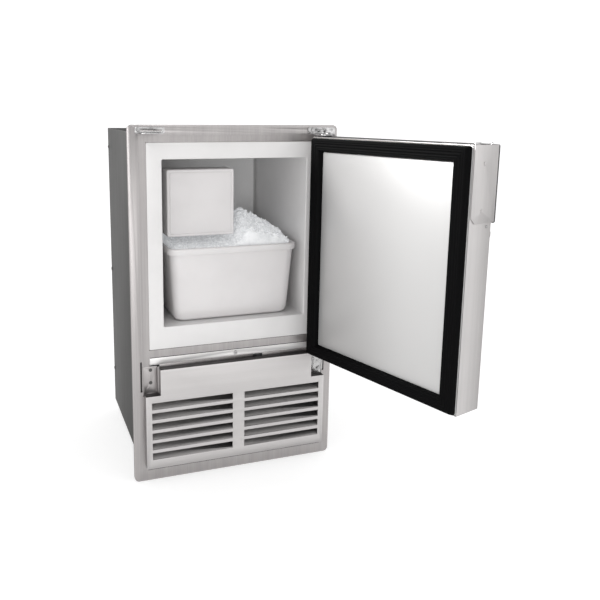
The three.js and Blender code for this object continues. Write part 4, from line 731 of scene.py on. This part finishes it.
# a chip is a ball whose radius in each direction is the least of its cutting planes' distances
# over the cosine to that plane, which leaves flat facets; each is then stretched and turned
def makeChips(shape):
    low, high = bucketLow, bucketHigh
    u = np.linspace(0, 2 * math.pi, shape["around"], endpoint=False)
    v = np.linspace(0, math.pi, shape["down"] + 2)[1:-1]
    uu, vv = np.meshgrid(u, v)
    ways = np.stack([np.cos(uu) * np.sin(vv), np.sin(uu) * np.sin(vv), np.cos(vv)], -1)
    margin = 13 * mm
    spots = rng.uniform((low.x + margin, low.y + margin), (high.x - margin, high.y - margin),
                        (shape["chips"], 2))
    points, faces, start = [], [], 0
    template = stitch(ways)
    for x, y in spots:
        planes = rng.normal(size=(9, 3))
        planes /= np.linalg.norm(planes, axis=1)[:, None]
        reach = rng.uniform(0.62, 1.0, 9)
        cosine = np.maximum(ways @ planes.T, 0.08)
        radius = np.minimum((reach / cosine).min(-1), 1.25)
        size = rng.uniform(*shape["chipSize"])
        size = size * np.array([rng.uniform(0.8, 1.5), rng.uniform(0.7, 1.1), rng.uniform(0.45, 0.8)])
        turn = np.linalg.qr(rng.normal(size=(3, 3)))[0]
        turn *= np.sign(np.linalg.det(turn))
        z = heapHeight(x, y, shape) + rng.uniform(-3, 0.6) * mm
        chip = (ways * radius[..., None] * size) @ turn.T + (x, y, z)
        chip = chip.reshape(-1, 3)
        chip[:, 0] = np.clip(chip[:, 0], low.x + 11 * mm, high.x - 11 * mm)
        chip[:, 1] = np.clip(chip[:, 1], low.y + 11 * mm, high.y - 11 * mm)
        points.append(chip)
        faces += [[start + i for i in face] for face in template]
        start += len(chip)
    return addPiece("ice_chips", np.concatenate(points), faces, "ice", "bucket", sharp=18)


makeHeap(iceShape)
makeChips(iceShape)
print("ice made")

# fasteners: how far screws stand from an edge, and each kind's radius and height
screwShape = {
    "hingeSpots": (21 * mm, 33 * mm), "hinge": (3.4 * mm, 1.6 * mm),
    "lowerSpot": (8 * mm, -2 * mm, 34 * mm), "lower": (3.2 * mm, 1.5 * mm),
    "backEdge": 8 * mm, "backEnd": 14 * mm, "backRows": 6, "backMiddle": (-0.09, 0.0, 0.09),
    "back": (3.8 * mm, 1.8 * mm),
    "sideHeights": (0.10, 0.33, 0.597), "sideRear": 5 * mm, "sideFront": 12 * mm, "sideEnd": 34 * mm,
    "side": (3.4 * mm, 1.5 * mm),
    "doorInset": 10 * mm, "doorBelowPlate": 6 * mm, "door": (2.2 * mm, 1.0 * mm),
}


# a pan-head screw: a profile (radius, height) turned about its axis, whose head is a low dome
# with a cross pressed into it: points near either of two lines through the middle sink
def screwHead(centre, outward, radius, height, turnBy):
    around = 32
    out = np.array([1.0, 1.0, 0.97, 0.86, 0.7, 0.52, 0.34, 0.2, 0.1])
    rise = np.array([0.0, 0.35, 0.6, 0.82, 0.93, 0.98, 1.0, 1.0, 1.0])
    angle = np.linspace(0, 2 * math.pi, around, endpoint=False)
    x = out[:, None] * np.cos(angle + turnBy)
    y = out[:, None] * np.sin(angle + turnBy)
    cross = np.minimum(abs(x * math.cos(turnBy) + y * math.sin(turnBy)),
                       abs(y * math.cos(turnBy) - x * math.sin(turnBy)))
    sunk = np.clip((0.17 - cross) / 0.08, 0, 1) * (out[:, None] < 0.66)
    z = rise[:, None] * np.ones_like(x) - 0.6 * sunk
    axis = Vector(outward).normalized()
    side = axis.orthogonal().normalized()
    other = axis.cross(side)
    basis = np.array([side, other, axis])
    local = np.stack([x * radius, y * radius, z * height], -1)
    return local @ basis + np.array(centre)


# several screws joined into one piece; those on the door are hung with it
def makeScrews(name, spots, outward, size, body, finishName="bright_steel", door=False):
    points, faces, start = [], [], 0
    for spot in spots:
        rings = screwHead(spot, outward, *size, rng.uniform(0, math.pi))
        flat = rings.reshape(-1, 3)
        points.append(hang(flat) if door else flat)
        faces += [[start + i for i in face] for face in stitch(rings)]
        start += len(flat)
    return addPiece(name, np.concatenate(points), faces, finishName, body, sharp=35)


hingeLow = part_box("hinge_top_bracket")[0]
hingeScrewLow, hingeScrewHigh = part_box("hinge_top_screw")
hingeFace = hingeScrewLow.y + screwShape["hinge"][1]
hingeZ = (hingeScrewLow.z + hingeScrewHigh.z) / 2
makeScrews("hinge_extra_screws", [(hingeLow.x + x, hingeFace, hingeZ) for x in screwShape["hingeSpots"]],
           (0, -1, 0), screwShape["hinge"], "cabinet")
lowerLow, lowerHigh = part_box("hinge_bottom_bracket")
lowerX, lowerY, lowerZ = screwShape["lowerSpot"]
makeScrews("hinge_lower_extra_screw", [(lowerLow.x + lowerX, lowerHigh.y + lowerY, lowerLow.z + lowerZ)],
           (0, -1, 0), screwShape["lower"], "cabinet")

backLow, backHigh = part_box("back_panel")
edge, end = screwShape["backEdge"], screwShape["backEnd"]
backSpots = [(x, backHigh.y, z) for x in (backLow.x + edge, backHigh.x - edge)
             for z in np.linspace(backLow.z + end, backHigh.z - end, screwShape["backRows"])]
backSpots += [(x, backHigh.y, z) for x in screwShape["backMiddle"]
              for z in (backLow.z + edge, backHigh.z - edge)]
makeScrews("back_panel_screws", backSpots, (0, 1, 0), screwShape["back"], "cabinet")

shellLow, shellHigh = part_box("cabinet_shell")
rear, front = shellHigh.y - screwShape["sideRear"], shellLow.y + screwShape["sideFront"]
end = screwShape["sideEnd"]
for side, way, hand in ((shellLow.x, -1, "left"), (shellHigh.x, 1, "right")):
    spots = [(side, rear, z) for z in screwShape["sideHeights"]]
    spots += [(side, front, z) for z in np.linspace(shellLow.z + end, shellHigh.z - end, 3)]
    makeScrews("side_screws_" + hand, spots, (way, 0, 0), screwShape["side"], "cabinet", "cabinet_steel")

plateLow = shutBox("pull_plate")[0]
shutShellLow = shutBox("door_outer_shell")[0]
doorSpot = (shutShellLow[0], shutShellLow[1] + screwShape["doorInset"],
            plateLow[2] - screwShape["doorBelowPlate"])
makeScrews("door_side_screw", [doorSpot], (-1, 0, 0), screwShape["door"], "door", door=True)
print("fasteners made")

# trims: black strips that stand for the shadow gaps under the band and the grille (painted shadow), and the kick
# strips
stripEdge = 0.4 * mm
bandShadowStrip = {"end": 0.5 * mm, "front": 1.9 * mm, "back": 0.2 * mm, "drop": 1.1 * mm, "rise": 0.1 * mm}
footShadowStrip = {"left": 1 * mm, "right": 6 * mm, "setback": 0.4 * mm, "drop": 1.2 * mm, "rise": 0.1 * mm}
kickStrip = {"reach": 0.1455, "front": 0.8 * mm, "back": 2.0 * mm, "drop": 8 * mm, "rise": 1 * mm,
             "switchGap": 0.8 * mm}


# a long strip: rounded-rectangle loops across it, drawn in at both ends
def makeStrip(name, x0, x1, y0, y1, z0, z1, finishName):
    loop = roundLoop(y0, y1, z0, z1, stripEdge, 4)
    middle = loop.mean(0)
    ends = [(x0, 0.6), (x0 + 0.2 * mm, 0.9), (x0 + 0.6 * mm, 1.0),
            (x1 - 0.6 * mm, 1.0), (x1 - 0.2 * mm, 0.9), (x1, 0.6)]
    rings = []
    for x, share in ends:
        ring = middle + (loop - middle) * share
        rings.append(np.column_stack([np.full(len(ring), x), ring]))
    rings = np.array(rings)
    return addPiece(name, rings, stitch(rings), finishName, "cabinet")


railLow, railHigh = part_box("lower_rail")
grilleLow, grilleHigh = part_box("grille_panel")
bezelLow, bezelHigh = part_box("rocker_bezel")
# painted shadow: a thin black strip under the band's lower edge and one under the grille's lower edge stand in for
# the dark shadow lines there
makeStrip("band_shadow_strip", railLow.x + bandShadowStrip["end"], railHigh.x - bandShadowStrip["end"],
          railLow.y - bandShadowStrip["front"], railLow.y + bandShadowStrip["back"],
          railHigh.z - bandShadowStrip["drop"], railHigh.z + bandShadowStrip["rise"], "black_plastic")
makeStrip("grille_foot_shadow_strip", grilleLow.x + footShadowStrip["left"], grilleHigh.x - footShadowStrip["right"],
          grilleLow.y + footShadowStrip["setback"], grilleHigh.y - footShadowStrip["setback"],
          grilleLow.z - footShadowStrip["drop"], grilleLow.z + footShadowStrip["rise"], "black_plastic")
kickBottom, kickTop = bezelLow.z - kickStrip["drop"], railLow.z + kickStrip["rise"]
kicks = (("left", -kickStrip["reach"], bezelLow.x - kickStrip["switchGap"]),
         ("right", bezelHigh.x + kickStrip["switchGap"], kickStrip["reach"]))
for hand, x0, x1 in kicks:
    makeStrip("kick_strip_" + hand, x0, x1, kickStrip["front"], kickStrip["back"],
              kickBottom, kickTop, "brushed_front")
print("trims made")

# studio
studio = {
    "floorRadius": 2.6, "wallRadius": 5.0, "wallHeight": 2.6,
    "floorColour": (0.55, 0.55, 0.55), "glow": 0.62, "air": 0.75,
}


# a shallow bowl: a flat disc, then a quarter round up to the wall, turned about the upright axis
def makeStudio(setup):
    angle = np.linspace(0, math.pi / 2, 14)
    bend = setup["wallRadius"] - setup["floorRadius"]
    radius = np.concatenate([[0.02, 0.6, 1.6], setup["floorRadius"] + bend * np.sin(angle)])
    height = np.concatenate([[0, 0, 0], setup["wallHeight"] * (1 - np.cos(angle))])
    turn = np.linspace(0, 2 * math.pi, 96, endpoint=False)
    rings = np.stack([radius[:, None] * np.cos(turn), radius[:, None] * np.sin(turn),
                      height[:, None] * np.ones_like(turn)], -1)
    rings[..., 0] += 0.05
    mesh = bpy.data.meshes.new("studio_floor")
    mesh.from_pydata(rings.reshape(-1, 3).tolist(), [], stitch(rings)[:-1])
    mesh.shade_smooth()
    floor = bpy.data.objects.new("studio_floor", mesh)
    bpy.context.scene.collection.objects.link(floor)
    g = Graph("studio_paper")
    soft = g.noise((3, 3, 3), detail=2)
    paper = g.blend(soft * 0.15, setup["floorColour"], dim(setup["floorColour"], 0.97))
    fixed = {"Emission Color": (1, 1, 1), "Emission Strength": setup["glow"]}
    mesh.materials.append(g.finish(paper, 0.9, fixed=fixed))


def addSoftLight(name, place, aim, size, power, spread=180):
    data = bpy.data.lights.new(name, "AREA")
    data.shape = "RECTANGLE"
    data.size, data.size_y = size
    data.energy = power
    data.spread = math.radians(spread)
    light = bpy.data.objects.new(name, data)
    bpy.context.scene.collection.objects.link(light)
    light.location = place
    light.rotation_euler = (Vector(aim) - Vector(place)).to_track_quat("-Z", "Y").to_euler()


makeStudio(studio)
addSoftLight("key_softbox", (-1.3, -2.6, 0.32), (0, 0, 0.24), (1.5, 1.2), 15)
addSoftLight("right_fill", (1.5, -2.2, 1.0), (0, 0, 0.35), (1.4, 1.2), 4)
addSoftLight("top_softbox", (0, 0.2, 2.5), (0, 0, 0.3), (2.2, 2.2), 6)
addSoftLight("cavity_fill", (-0.42, -1.35, 0.58), (0.03, 0.1, 0.42), (0.5, 0.4), 0.13, spread=34)
addSoftLight("door_softbox", (-1.1, 0.35, 1.25), (0.22, -0.16, 0.62), (0.35, 0.35), 1.1, spread=34)
world = bpy.data.worlds.new("studio_air")
bpy.context.scene.world = world
world.use_nodes = True
air = world.node_tree.nodes["Background"]
air.inputs["Color"].default_value = (1, 1, 1, 1)
air.inputs["Strength"].default_value = studio["air"]
bpy.context.scene.view_settings.view_transform = "Standard"
print("studio made")
